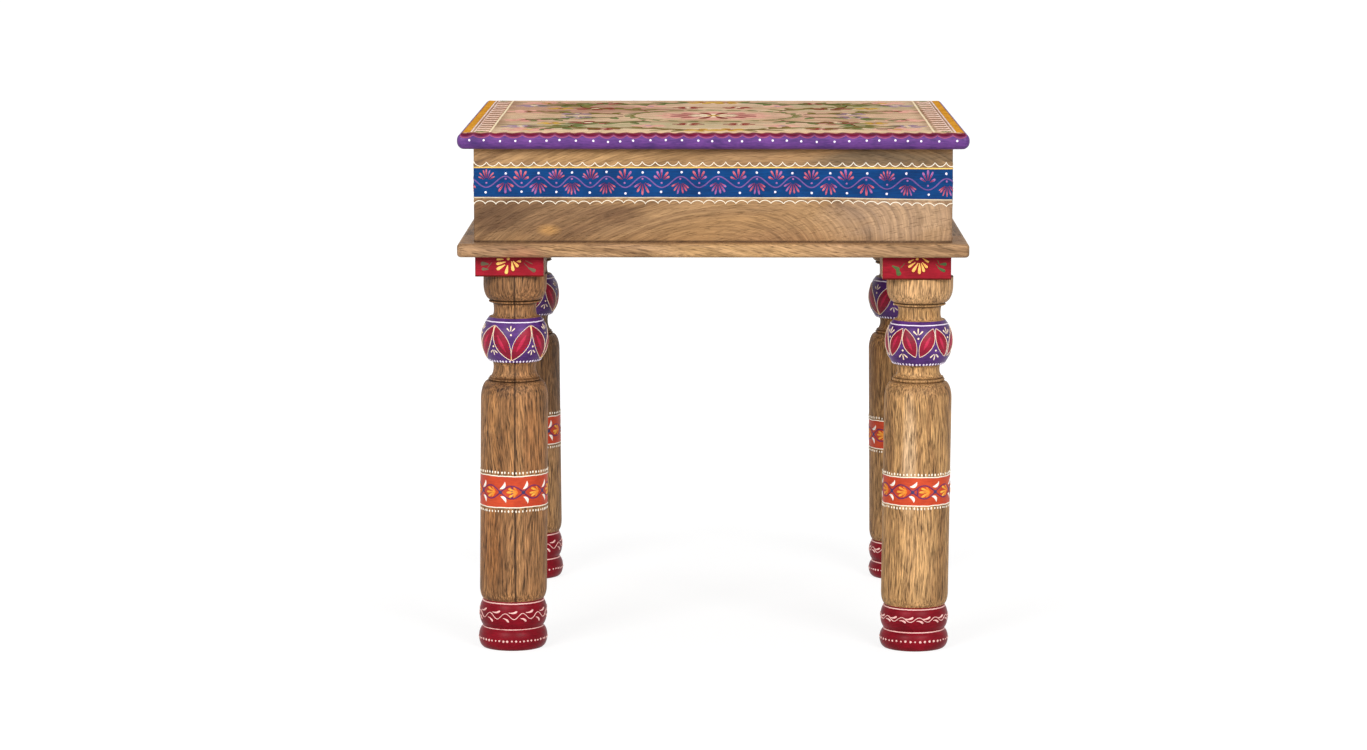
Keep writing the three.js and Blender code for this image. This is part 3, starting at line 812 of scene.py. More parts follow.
apronLook = {"endRound": 0.24, "cornerRadius": 1.2, "jointRound": 0.1}
apronWoods = {
    "front": {
        "grain": "x", "seed": 3.0, "centre": (70, -196, 350), "squeeze": 0.42,
        "slant": 0.22, "ringScale": 0.085, "ringLines": 0.6, "ringEdge": 0.014, "ringShade": 0.7,
        "contrast": 0.30, "pores": 0.22, "streaks": 0.4,
        "patches": [
            ((-150, -211, 385), (75, 30, 26), "#674a33", 0.62),
            ((-145, -211, 378), (12, 20, 6), "#ba8b52", 0.75),
            ((165, -211, 385), (70, 30, 26), "#ba9c81", 0.45),
            ((-188, -211, 388), (22, 20, 12), "#573d28", 0.60),
            ((-88, -211, 392), (28, 20, 9), "#5e412c", 0.55),
            ((60, -211, 372), (60, 30, 9), "#a87e58", 0.30),
            ((150, -211, 441), (90, 20, 9), "#574a38", 0.75),
            ((-100, -211, 442), (110, 20, 7), "#c29a60", 0.25),
            ((20, -211, 442), (80, 20, 9), "#876745", 0.30),
        ],
    },
    "back": {"grain": "x", "seed": 21.0, "centre": (-60, 190, 380), "squeeze": 0.30},
    "left": {"grain": "y", "seed": 27.0, "centre": (40, -190, 350), "squeeze": 0.25},
    "right": {"grain": "y", "seed": 33.0, "centre": (-70, 200, 390), "squeeze": 0.34},
}
apronShades = {
    "light": "#a8845c", "middle": "#8f6d4a", "dark": "#5b402a", "warm": "#a67f53", "contrast": 0.28,
    # the groove is painted shade and dirt along the apron's foot, where the ledge meets it
    "bend": 20, "follow": True, "ringLines": 0.5, "pores": 0.4, "grooves": [(apronLow[2] + 0.8, 1.5, 0.8)],
}


def addApron():
    outer, joint = apronLook["cornerRadius"], apronLook["jointRound"]
    corners = {"front": [outer, joint, joint, outer], "back": [joint, outer, outer, joint]}
    for name, look in apronWoods.items():
        low, high = nodeBox(f"apron_{name}")
        rings = boardRings(low, high, [apronLook["endRound"]] * 4, corners.get(name, [joint] * 4))
        material = mangoWood(f"wood_apron_{name}", **{**apronShades, **look})
        addStack(f"apron_board_{name}", rings, material, [f"apron_{name}"])


ledgeLook = {"edgeRound": 3.0, "cornerRadius": 4.5, "jointRound": 0.2, "screwRoom": 0.15}
ledgeWoods = {
    "front": {
        "grain": "x", "seed": 41.0, "centre": (90, -260, 300), "slant": -0.16, "pores": 0.6,
        "patches": [
            ((-175, -215, 352), (60, 60, 30), "#846348", 0.60),
            ((30, -222, 352), (80, 60, 30), "#c59c67", 0.45),
            ((175, -215, 352), (60, 60, 30), "#8f6f4e", 0.45),
            ((-165, -226, 354), (22, 30, 12), "#a15c43", 0.4),
        ],
    },
    "back": {"grain": "x", "seed": 47.0, "centre": (-90, 240, 420), "squeeze": 0.06, "slant": 0.1},
    "left": {
        "grain": "y", "seed": 52.0, "centre": (30, -240, 300), "light": "#9a7b5b", "middle": "#816549",
    },
    "right": {
        "grain": "y", "seed": 58.0, "centre": (-30, 250, 310), "light": "#9a7b5b", "middle": "#816549",
    },
}
ledgeShades = {"squeeze": 0.05, "light": "#b8916b", "middle": "#a17d57", "dark": "#694a31", "warm": "#b38b5e"}


def addLedge():
    look = ledgeLook
    edge, joint, corner = look["edgeRound"], look["jointRound"], look["cornerRadius"]
    rounds = {
        "front": [edge, edge, joint, edge],
        "back": [joint, edge, edge, edge],
        "left": [joint, joint, joint, edge],
        "right": [joint, edge, joint, joint],
    }
    corners = {"front": [corner, joint, joint, corner], "back": [joint, corner, corner, joint]}
    for name, wood in ledgeWoods.items():
        low, high = nodeBox(f"ledge_{name}")
        low = low + np.array([0, 0, look["screwRoom"]])
        rings = boardRings(low, high, rounds[name], corners.get(name, [joint] * 4))
        material = mangoWood(f"wood_ledge_{name}", **{**ledgeShades, **wood})
        addStack(f"ledge_rail_{name}", rings, material, [f"ledge_{name}"])


addTop()
addApron()
addLedge()
print("boards made")


# Legs

legLook = {
    "block": 60.6, "blockHeight": 18.8, "blockCorner": 1.2, "blockEdge": 0.7,
    "cupRadius": 29, "cupWall": 9, "cupCurve": 14.6, "cupFoot": 21.2,
    "ringRadius": 23.4, "ringHeight": 2, "neckEdge": 20.6, "neckWaist": 18.8,
    "upperNeck": 12.7, "upperWaist": 0.5, "lowerWaist": 0.62,
    "ballRadius": 29.8, "ballCut": 22.8, "ballHeight": 39.8,
    "shaftTop": 240.2, "shoulderStart": 23.7, "shoulder": 15.5, "crease": 1.5,
    "shaftRadius": 30, "heel": 11.4, "pinch": 25.5,
    "upperRoll": 30.1, "upperRollHeight": 22.3, "lowerRoll": 30.6, "lowerRollHeight": 18.3,
    "footShare": 0.45, "blockSupport": 0.6, "curvePoints": 18, "shaftPoints": 8, "sides": 96,
    "driftRoom": 0.3, "blockInset": 0.8,
}
legJoins = {
    # small steps in height and radius where one form of the turned length meets the next
    "wall": 0.5, "dome": 0.6, "bead": 0.3, "beadIn": 0.2, "beadShare": 0.8, "beadTop": 0.2, "beadDip": 0.5,
    "neck": 0.9, "neckIn": 1.2, "ball": 0.25, "ballDip": 0.3, "ballTip": 0.05, "upper": 0.7, "upperIn": 0.6,
    "ring": 0.3, "ringIn": 0.8, "cup": 0.3, "cupOut": 0.6,
}
legPlaces = namedRows("drift extra foot cup crease bead", {
    # how far each turned length sits to the right, what its block, foot, cup and crease gain, and
    # the height of the bead between its two grooves
    "front_left": (1.5, -0.9, 3.0, -0.8, 1.4, 1.9),
    "front_right": (2.5, 1.5, -1.7, 0.6, 0.8, 2.9),
    "back_left": (0, -0.9, 3.5, 0, 0, 2.0),
    "back_right": (3, 1.5, -4.5, 0, 1, 2.4),
})
legLean = {"share": 0.0105, "from": 149}        # to the right for each millimetre above this height
backLean = {"share": -0.0085, "from": 149}        # and the back legs to the left
legWoods = {
    "front_left": {
        "seed": 61.0, "centre": (0, -150, 185), "light": "#a6794e", "middle": "#8b623e",
        "dark": "#4c311c", "warm": "#aa7441", "contrast": 0.96,
        "seam": {"place": -175.6, "tint": "#fff6ec", "tone": "#9a724c", "line": 1.35, "dark": "#2a180c"},
        "patches": [
            ((-159, -205, 190), (14, 24, 48), "#ac6d38", 0.55),
            ((-152, -195, 222), (6, 12, 25), "#432a14", 0.6),
            ((-199, -200, 100), (12, 24, 50), "#9f6433", 0.45),
            ((-187, -210, 170), (6, 14, 200), "#5e3c21", 0.4),
            # a pale stripe down the shaft beside the seam: painted highlight
            ((-171, -214, 170), (4, 10, 200), "#b48a5a", 0.5),
            ((-160, -205, 322), (14, 30, 14), "#865034", 0.4),
            # darker dome under the ball: painted shade
            ((-177, -187, 237), (45, 45, 10), "#5c3c24", 0.62),
            ((-177, -187, 323), (45, 45, 16), "#66452b", 0.45),
        ],
    },
    "front_right": {
        "seed": 67.0, "centre": (0, -140, -150), "light": "#c59964", "middle": "#ac8252",
        "dark": "#7b5738", "warm": "#be915e", "contrast": 0.80,
        "patches": [
            # darker dome under the ball: painted shade
            ((181, -187, 237), (45, 45, 10), "#785335", 0.45),
            # a darker patch down the left edge of the shaft: painted shade
            ((153, -200, 180), (12, 30, 80), "#75512f", 0.68),
            ((186, -212, 85), (24, 12, 60), "#cca16f", 0.45),
            # a pale stripe on the shaft's upper front: painted highlight
            ((173, -213, 190), (7, 12, 60), "#dcbc98", 0.5),
            ((181, -187, 323), (45, 45, 16), "#cda274", 0.62),
        ],
    },
    "back_left": {
        "seed": 73.0, "centre": (0, 160, 150), "light": "#a17b55", "middle": "#866240", "dark": "#593e26",
        "contrast": 0.95,
        "patches": [
            # darker upper leg: painted shade where the apron's shadow falls
            ((-160, 180, 200), (70, 70, 60), "#523823", 0.5),
            # lighter lower leg: painted light below that shadow
            ((-160, 180, 80), (70, 70, 60), "#b38a5c", 0.45),
        ],
    },
    "back_right": {
        "seed": 79.0, "centre": (0, 200, -190), "light": "#a57d50", "middle": "#88633b", "dark": "#5c3d22",
        # its patch lightens the lower leg: painted light below the apron's shadow
        "contrast": 0.95, "patches": [((160, 180, 80), (70, 70, 60), "#b38a5c", 0.45)],
    },
}


def rollCurve(bottom, height, inner, outer, count):
    # Half an ellipse that swells from the inner radius to the outer one and back
    t = np.linspace(0, 1, count)
    radii = inner + (outer - inner) * np.sin(math.pi * t)
    return pairs(radii, bottom + height / 2 * (1 - np.cos(math.pi * t)))


def bowlCurve(bottom, height, start, end, count):
    # A quarter ellipse that opens upwards to an upright wall
    t = np.linspace(0, 1, count)
    radii = start + (end - start) * np.sin(quarter * t)
    return pairs(radii, bottom + height * (1 - np.cos(quarter * t)))


def domeCurve(bottom, height, start, end, count):
    # A quarter ellipse that closes upwards from an upright wall
    t = np.linspace(0, 1, count)
    return pairs(end + (start - end) * np.cos(quarter * t), bottom + height * np.sin(quarter * t))


def hollowCurve(bottom, height, start, waist, end, waistShare, count):
    # Two quarter ellipses that draw in to the waist, at a share of the height, and out again
    t = np.linspace(0, 1, count)
    low, high = height * waistShare, height * (1 - waistShare)
    lowerRadii = waist + (start - waist) * (1 - np.sin(quarter * t))
    upperRadii = waist + (end - waist) * (1 - np.cos(quarter * t))
    lower = pairs(lowerRadii, bottom + low * (1 - np.cos(quarter * t)))
    upper = pairs(upperRadii, bottom + low + high * np.sin(quarter * t))
    return np.concatenate([lower, upper[1:]])


def ballCurve(bottom, height, radius, cut, count):
    # The middle of an ellipse, cut off above and below at the cut radius
    reach = math.acos(cut / radius)
    turn = reach * (2 * np.linspace(0, 1, count) - 1)
    halfHeight = height / 2 / math.sin(reach)
    return pairs(radius * np.cos(turn), bottom + height / 2 + halfHeight * np.sin(turn))


def legHeights(place):
    # The heights where the turned length changes from one form to the next
    look = legLook
    heights = {
        "footPinch": look["lowerRollHeight"] + place["foot"] * look["footShare"],
        "heel": look["lowerRollHeight"] + look["upperRollHeight"] + place["foot"],
        "shoulder": look["shaftTop"] - look["shoulder"],
        "lowerNeck": look["shaftTop"] + place["crease"],
        "bead": place["bead"],
        "cupRadius": look["cupRadius"] + place["cup"],
        "blockBottom": ledgeLow[2] - look["blockHeight"] - place["extra"],
    }
    heights["cup"] = heights["blockBottom"] - look["cupWall"] - look["cupCurve"]
    heights["ring"] = heights["cup"] - look["ringHeight"]
    heights["upperNeck"] = heights["ring"] - look["upperNeck"]
    heights["ball"] = heights["upperNeck"] - look["ballHeight"]
    return heights


def legCurve(heights):
    # Points of radius and height from the floor up. Two grooves with a bead between them part
    # the shaft from the neck, and the ring under the cup is a bead too.
    look, join, n = legLook, legJoins, legLook["curvePoints"]
    pinch, footPinch, heel = look["pinch"], heights["footPinch"], heights["heel"]
    shoulder, crease, ball = heights["shoulder"], heights["lowerNeck"], heights["ball"]
    upperNeck, ring, cup, bottom = (heights[key] for key in ("upperNeck", "ring", "cup", "blockBottom"))
    shaftHeights = np.linspace(heel + look["heel"], shoulder, look["shaftPoints"] + 2)[1:-1]
    shaft = pairs(look["shaftRadius"], shaftHeights)
    start, edge, waist, cut = look["shoulderStart"], look["neckEdge"], look["neckWaist"], look["ballCut"]
    wallHeights = np.array([cup + look["cupCurve"] + join["wall"], bottom - join["wall"], bottom])
    wall = pairs(heights["cupRadius"], wallHeights)
    groove, beadTop, beadGap = look["crease"], crease + heights["bead"], join["bead"]
    beadLow, beadHigh = start - groove * join["beadShare"], start - join["beadIn"]
    neckLow, neckIn = beadTop + join["neck"], start - join["neckIn"]
    upperHeight, upperIn = look["upperNeck"] - join["upper"], edge - join["upperIn"]
    ballLow, ballHeight = ball + join["ball"], look["ballHeight"] - 2 * join["ball"]
    ringLow, ringHeight = ring - join["ring"], look["ringHeight"] + join["ring"]
    cupLow, cupHeight = cup + join["cup"], look["cupCurve"] - join["cup"]
    return np.concatenate([
        rollCurve(0, footPinch, pinch, look["lowerRoll"], n),
        rollCurve(footPinch, heel - footPinch, pinch, look["upperRoll"], n)[1:],
        bowlCurve(heel, look["heel"], pinch, look["shaftRadius"], n)[1:],
        shaft,
        domeCurve(shoulder, crease - join["dome"] - shoulder, look["shaftRadius"], start, n),
        [[start - groove, crease]],
        rollCurve(crease + beadGap, heights["bead"] - 2 * beadGap, beadLow, beadHigh, 7),
        [[start - groove - join["beadDip"], beadTop + join["beadTop"]]],
        hollowCurve(neckLow, ball - neckLow, neckIn, waist, edge, look["lowerWaist"], n // 2),
        [[cut - join["ballDip"], ball + join["ballTip"]]],
        ballCurve(ballLow, ballHeight, look["ballRadius"], cut, n),
        [[cut - join["ballDip"], upperNeck - join["ballTip"]]],
        hollowCurve(upperNeck, upperHeight, edge, waist, upperIn, look["upperWaist"], n // 2),
        rollCurve(ringLow, ringHeight, look["cupFoot"] - join["ringIn"], look["ringRadius"], 9),
        bowlCurve(cupLow, cupHeight, look["cupFoot"] + join["cupOut"], heights["cupRadius"], n),
        wall,
    ])


def blockSquares(blockX, blockY, bottom, top):
    # The block's outlines from the bottom up, drawn in round its lower and its upper edges
    look = legLook
    edge = look["blockEdge"]
    blockPlace, length = squareSide(look["block"] / 2, look["blockCorner"])
    around = length * 4 * np.arange(look["sides"]) / look["sides"]
    turns = np.linspace(-quarter, quarter, 9)
    easing = edge * (1 - np.cos(turns))
    innermost = edge + look["blockSupport"]
    insets = np.concatenate([[innermost], easing[:5], easing[4:], [innermost]])
    lowRise = bottom + edge * (1 + np.sin(turns[:5]))
    highRise = top - edge * (1 - np.sin(turns[4:]))
    squares = []
    for inset, z in zip(insets, np.concatenate([[bottom], lowRise, highRise, [top]])):
        x, y = blockPlace(around, -inset)
        squares.append(np.stack([x + blockX, y + blockY, np.full(len(x), z)], -1))
    return np.array(squares)


def legGrooves(heights, isRight):
    # Painted shade and dirt in the turned grooves and under the block: height, half width and strength
    crease = heights["lowerNeck"]
    creaseTop = crease + heights["bead"] + legJoins["bead"]
    upperShare = 0.85 if isRight else 0.45
    return [
        (heights["blockBottom"], 0.9, 0.8),
        (heights["cup"] + 0.2, 0.9, 0.85),
        (heights["ring"] - 0.6, 0.9, 0.85),
        (crease, 0.8, 1.2 - upperShare),
        (creaseTop, 0.8, upperShare * 0.6),
        (heights["heel"], 0.8, 0.6),
    ]


def addLeg(name, place):
    # Circles of the turned curve, then squares of the block, point for point, in one skin
    look = legLook
    low, high = nodeBox(f"leg_{name}")
    side = 1 if "right" in name else -1
    end = 1 if "back" in name else -1
    block = look["block"]
    blockX = (high[0] if side > 0 else low[0]) - side * block / 2
    blockY = (high[1] if end > 0 else low[1]) - end * block / 2
    if side * place["drift"] > look["driftRoom"]:        # the turned part stands out past the block
        blockX = side * (apronHalf - look["blockInset"] - block / 2)
    heights = legHeights(place)
    curve = legCurve(heights)
    middle = (blockX + place["drift"], blockY)
    lean = backLean if name.startswith("back") else legLean
    leaning = middle[0] + leanShift(lean, curve[:, 1:])
    angle = fullTurn * np.arange(look["sides"]) / look["sides"] - quarter * 1.5
    circles = np.stack([
        leaning + curve[:, :1] * np.cos(angle),
        middle[1] + curve[:, :1] * np.sin(angle),
        np.repeat(curve[:, 1:], look["sides"], 1),
    ], -1)
    squares = blockSquares(blockX, blockY, heights["blockBottom"], high[2])
    grooves = legGrooves(heights, side > 0)
    material = mangoWood(f"wood_leg_{name}", grain="z", squeeze=0.02, grooves=grooves, **legWoods[name])
    rings = np.concatenate([circles, squares])
    addStack(f"leg_turned_{name}", rings, material, [f"leg_{name}"])
    form = {"heights": heights, "curve": curve, "middle": middle, "lean": lean}
    return {"name": name, "block": (blockX, blockY), **form}


legs = [addLeg(name, place) for name, place in legPlaces.items()]
print("legs made")


# Hand-drawn lines, and rows of places along them

def wobble(s, period, amount, seed, waves=7):
    # A closed, gentle wander: a sum of sine waves that fit the period whole, with seeded phases
    pick = np.random.default_rng(seed)
    counts = pick.integers(2, 9 * waves, waves)
    phases = pick.uniform(0, fullTurn, waves)
    share = np.sin(np.asarray(s)[..., None] / period * fullTurn * counts + phases) / counts ** 0.5
    return amount * share.sum(-1) / 1.6


def line(surface, s, t, width, height, period=None):
    return bead(surface, pairs(s, t), width, height, period)


def roundPlaces(count, total, spread, pick):
    # Places round a closed length: even steps, each with a small random shift
    return (np.arange(count) + pick.uniform(-spread, spread, count)) / count * total


def unevenSteps(total, pitch, spread, seed):
    # Points along a length, about a pitch apart, that divide it whole
    pick = np.random.default_rng(seed)
    count = max(1, round(total / pitch))
    gaps = 1 + pick.uniform(-spread, spread, count)
    return np.concatenate([[0], np.cumsum(gaps) / gaps.sum() * total])


def scallopHeights(s, knots, low, high, power):
    # A chain of arcs with a cusp at the high value over each knot: half a sine wave, made rounder
    # by a power under 1
    hump = np.sin(math.pi * (np.interp(s, knots, np.arange(len(knots))) % 1)) ** power
    return high - (high - low) * hump


def scallops(surface, total, look, seed, cuspsUp):
    # A closed row of them round a length
    knots = unevenSteps(total, look["pitch"], look["uneven"], seed)
    s = np.linspace(0, total, int(total / look["step"]))[:-1]
    low, high = (look["low"], look["high"]) if cuspsUp else (look["high"], look["low"])
    drift = wobble(s, total, abs(high - low) * look["wander"], seed + 1)
    heights = scallopHeights(s, knots, low, high, look["round"]) + drift
    return line(surface, s, heights, look["width"], look["height"], total)


# Apron: a blue band with a waving vine and fans of petals, between lines and scallops

band = {
    "blueLow": 407.2, "blueHigh": 432.4, "proud": 0.14,
    "lineAbove": {"t": 433.2, "wander": 0.18, "width": 1.15, "height": 0.5},
    "lineBelow": {"t": 406.6, "wander": 0.25, "width": 1.1, "height": 0.4},
    "scallops": {"uneven": 0.13, "step": 0.55, "width": 0.76, "height": 0.5},
    "scallopsAbove": {"low": 434.5, "high": 438.5, "pitch": 10.4, "round": 0.62, "wander": 0.16},
    "scallopsBelow": {"low": 400.9, "high": 404.1, "pitch": 10.2, "round": 0.5, "wander": 0.32},
    "vineMiddle": 420.5, "vineReach": 4.8, "vineWander": 0.25, "vineWidth": 1.2, "vineHeight": 0.5,
    "fanUp": {"base": 421.6, "length": 10.4, "side": 8.0, "halfAngle": 62, "dot": 419.6},
    "fanDown": {"base": 421.0, "length": 11.6, "side": 9.0, "halfAngle": 56, "dot": 423.2},
    "petalStart": 2.2, "petalWidth": 1.8, "usualPetals": 6.2, "pinkShare": 0.65,
    "coreLength": 0.74, "coreWidth": 0.46, "gapBeyond": 0.5, "gapWider": 0.9,
    "dotRadius": 1.1, "dotAbove": 428.6, "dotBelow": 411.4, "baseDot": 0.95,
    "firstTrough": -199.5,
    "sinkHeights": (404, 408, 420, 432, 436), "sinkDepths": (2.0, 1.8, 2.6, 0.8, 0.6), "sinkReach": 75,
    # half waves of the vine along the front, from left to right
    "frontWaves": [
        17.0, 14.2, 15.0, 15.7, 13.7, 15.8, 14.8, 16.0, 15.7, 16.4, 17.1, 15.6, 17.2,
        18.2, 15.2, 17.1, 14.9, 16.3, 16.0, 15.2, 17.1, 17.8, 17.8, 18.5, 16.3,
    ],
    "otherWave": 16.2, "otherSpread": 0.08,
}


def apronSurface():
    # The apron's four faces, on which the painter's lines sink towards the front's right end
    look = band
    upright, length = uprightSides(apronHalf, apronLook["cornerRadius"])

    def surface(s, t, h):
        fall = np.interp(t, look["sinkHeights"], look["sinkDepths"])
        return upright(s, t - fall * np.exp(-(((s - length) / look["sinkReach"]) ** 2)), h)

    return surface, length


def addApronLines(surface, total):
    # The blue coat, the straight lines along it and the scallops beyond them
    look = band
    around = sideSteps(apronHalf, apronLook["cornerRadius"], 6)[:-1]
    low = look["blueLow"] + wobble(around, total, 0.25, 5)
    high = look["blueHigh"] + wobble(around, total, 0.2, 6)
    coat = skin(surface, around, pairs(low, high), look["proud"], closed=True)
    addPaint("apron_band_blue", [coat], "blue")

    fine = np.linspace(0, total, int(total / 1.2))[:-1]
    lines = []
    for key, seed in (("lineAbove", 7), ("lineBelow", 8)):
        place = look[key]
        t = place["t"] + wobble(fine, total, place["wander"], seed)
        lines.append(line(surface, fine, t, place["width"], place["height"], total))
    addPaint("apron_line_gold", lines[:1], "goldLine")
    addPaint("apron_line_pale", lines[1:], "dullLine")
    above = {**look["scallops"], **look["scallopsAbove"]}
    below = {**look["scallops"], **look["scallopsBelow"]}
    edging = [scallops(surface, total, above, 21, True), scallops(surface, total, below, 22, False)]
    addPaint("apron_scallops", edging, "warmWhite")


def vineKnots(total, first, pick):
    # The places of the vine's low and high points: as painted on the front, and then uneven steps
    look = band
    front = np.cumsum([0] + look["frontWaves"])
    rest = total - front[-1]
    count = round((rest / look["otherWave"] - 1) / 2) * 2 + 1
    steps = 1 + pick.uniform(-look["otherSpread"], look["otherSpread"], count)
    others = front[-1] + np.cumsum(steps)[:-1] / steps.sum() * rest
    return first + np.concatenate([front, others])


def addApronVine(surface, total, first):
    # A cosine wave round the table, with a fan of petals in each of its bends
    look = band
    pick = np.random.default_rng(31)
    knots = vineKnots(total, first, pick)
    s = first + np.linspace(0, total, int(total / 0.7))[:-1]
    phase = np.interp(s, np.append(knots, knots[0] + total), np.arange(len(knots) + 1))
    sway = look["vineReach"] * np.cos(math.pi * phase)
    t = look["vineMiddle"] - sway + wobble(s, total, look["vineWander"], 9)
    vine = line(surface, s, t, look["vineWidth"], look["vineHeight"], total)

    isCrest = np.arange(len(knots)) % 2 == 1
    gaps, petals, cores, dots, baseDots = [], {"petalPink": [], "petalMauve": []}, [], [], []
    for s, crest in zip(knots, isCrest):
        fan = look["fanDown"] if crest else look["fanUp"]
        count = int(pick.integers(5, 8))
        half = math.radians(fan["halfAngle"])
        turn = np.linspace(-half, half, count) + pick.uniform(-0.06, 0.06, count)
        direction = turn + (-quarter if crest else quarter) + pick.uniform(-0.06, 0.06)
        share = (turn / half) ** 2
        reach = (fan["length"] * (1 - share) + fan["side"] * share) * pick.uniform(0.94, 1.06, count)
        base = np.array([s + pick.uniform(-0.5, 0.5), fan["base"]])
        root = base + ways(direction) * look["petalStart"]
        length = reach - look["petalStart"]
        width = look["petalWidth"] * look["usualPetals"] / count * pick.uniform(0.85, 1.05, count)
        beyond, wider = length + look["gapBeyond"], width + look["gapWider"]
        gaps.append(drop(surface, root, direction, beyond, wider, 0.2, tail=0.4, rows=7))
        blades = drop(surface, root, direction, length, width, 0.5, tail=0.14, rows=7)[0]
        isPink = pick.uniform(0, 1, count) < look["pinkShare"]
        petals["petalPink"].append(blades[isPink])
        petals["petalMauve"].append(blades[~isPink])
        inner, narrow = length * look["coreLength"], width * look["coreWidth"]
        cores.append(drop(surface, root, direction, inner, narrow, 0.68, tail=0.3, rows=5))
        baseDots.append([base[0] + pick.uniform(-0.3, 0.3), fan["dot"]])
        height = look["dotAbove"] if crest else look["dotBelow"]
        dots.append([s + pick.uniform(-0.8, 0.8), height + pick.normal(0, 0.4)])
    spots = dot(surface, np.array(baseDots), look["baseDot"], 0.5)
    addPaint("apron_vine", [vine], "mauve")
    addPaint("apron_small_dots", [spots], "petalMauve")
    addPaint("apron_petal_gaps", gaps, "petalGap")
    for key, parts in petals.items():
        addPaint(f"apron_{key}", [(np.concatenate(parts), False)], key)
    addPaint("apron_petal_cores", cores, "petalRed")
    spots = dot(surface, np.array(dots), look["dotRadius"], 0.6)
    addPaint("apron_dots", [spots], "lilac")


def addApronBand():
    surface, length = apronSurface()
    addApronLines(surface, 4 * length)
    addApronVine(surface, 4 * length, band["firstTrough"] + length / 2)


# Edge of the top: purple over the round edge, and wine above it between two rows of scallops,
# with dots. The left and the right edge have gold on top instead of wine.

topEdge = {
    # distances over the edge, from 0 at half height. The flat starts at 10.85.
    "purpleLow": -10.1, "plumWidth": 1.6, "goldLow": 8.6, "goldInside": 15.4, "backLower": 3.2,
    "proud": 0.1, "sink": 0.4, "round": 0.75, "uneven": 0.16,
    "lowerScallops": {"low": 3.0, "high": 5.8, "seed": 72, "shift": 0, "width": 0.8, "height": 0.3},
    "upperScallops": {"low": 8.2, "high": 12.6, "seed": 77, "shift": 1.5, "width": 0.6, "height": 0.3},
    "scallopPitch": 13.2, "goldLine": 1.2, "goldLineHeight": 0.25,
    "dotPitch": 13.4, "dotRadius": 1.03, "dotHeight": 0.45, "dotAt": 0.5, "dotFromEnd": 10,
}


def edgePatch(surface, alongs, low, high, columns=14):
    # A coat over the edge from one distance to another
    low, high = np.broadcast_arrays(low, high, alongs)[:2]
    share = np.linspace(0, 1, columns)
    ups = low[:, None] + (high - low)[:, None] * share
    return skin(surface, alongs, ups, topEdge["proud"], sink=topEdge["sink"])


def addTopEdge():
    # On the front and the back edge a narrow plum coat follows the purple at the lower row of
    # scallops, and wine follows up to the upper row, which shares its knots. On the left and the
    # right edge gold follows the purple and runs in on the flat.
    look = topEdge
    room = topLook["reliefRoom"]
    half, corner = tableHalf - room, topLook["cornerRadius"]
    surface, length = roundEdge(half, corner, topLook["edgeRadius"], topLow[2], topHigh[2] - room)
    purple, plum, wine, gold, lowerLines, upperLines, dots = [], [], [], [], [], [], []
    for side in range(4):
        start = side * length
        if side % 2 == 1:        # right and left
            alongs = sideSteps(half, corner, 5, side, 1)
            split = look["goldLow"] + wobble(alongs, length, 0.12, 52 + side)
            purple.append(edgePatch(surface, alongs, look["purpleLow"], split))
            inside = look["goldInside"] + wobble(alongs, length, 0.25, 56 + side)
            gold.append(edgePatch(surface, alongs, split, inside))
            wine.append(line(surface, alongs, split, look["goldLine"], look["goldLineHeight"]))
            continue
        alongs = sideSteps(half, corner, 0.9, side, 1)
        knots = start + unevenSteps(length, look["scallopPitch"], look["uneven"], 70 + side)
        lower = look["backLower"] if side else 0
        borders = []
        for key, lines in (("lowerScallops", lowerLines), ("upperScallops", upperLines)):
            row = look[key]
            border = scallopHeights(alongs + row["shift"], knots, row["low"], row["high"], look["round"])
            border = border - lower + wobble(alongs, length, 0.35, row["seed"] + side)
            borders.append(border)
            lines.append(line(surface, alongs, border, row["width"], row["height"]))
        wineLow = borders[0] + look["plumWidth"]
        purple.append(edgePatch(surface, alongs, look["purpleLow"], borders[0]))
        wine.append(edgePatch(surface, alongs, wineLow, borders[1]))
        plum.append(edgePatch(surface, alongs, borders[0], wineLow, 4))
        fromEnd = look["dotFromEnd"]
        s = start + fromEnd + unevenSteps(length - 2 * fromEnd, look["dotPitch"], 0.2, 90 + side)
        t = look["dotAt"] + wobble(s, length, 1.5, 95 + side)
        dots.append(pairs(s, t))
    addPaint("top_edge_purple", purple, "purple")
    addPaint("top_edge_wine", wine, "wine")
    addPaint("top_edge_plum", plum, "plum")
    addPaint("top_edge_gold", gold, "gold")
    addPaint("top_edge_scallops", lowerLines, "edgeLine")
    addPaint("top_edge_scallops_inside", upperLines, "innerLine")
    spots = dot(surface, np.concatenate(dots), look["dotRadius"], look["dotHeight"])
    addPaint("top_edge_dots", [spots], "lilac")


# Face of the top: a border along the left and the right side, and a floral field between them

topBorder = {
    "pinkLine": 212.4, "pinkWidth": 1.3, "creamLines": (-196, 194), "creamWidth": 2.0, "end": 212,
    "scrollFrom": 198.5, "scrollTo": 208.6, "scrollPitch": 26, "scrollWidth": 7.0, "height": 0.3,
    "secondLine": 2.9, "secondWidth": 0.6, "scrollLean": 9, "scrollSway": 3.0,
    "sprigAt": 204.5, "sprigTurns": (0.5, 1.6, 2.6, 3.9, 5.2), "sprigLength": 5.5, "sprigWidth": 2.6,
}
topField = {
    "rosettePetals": 12, "rosetteSize": 44, "wreath": 74, "wreathLeaves": 26,
    "petalStart": 0.16, "stemWidth": 1.6, "stemPoints": 60, "height": 0.3,
    "leafLength": 26, "leafWidth": 9.5, "leafPitch": 17,
}
fieldStems = [        # start, end, waves and reach in one quarter of the field
    ((62, 60), (160, 172), 1.5, 12),
    ((12, 182), (168, 142), 2.0, 10),
    ((84, 12), (172, 58), 1.5, 9),
]
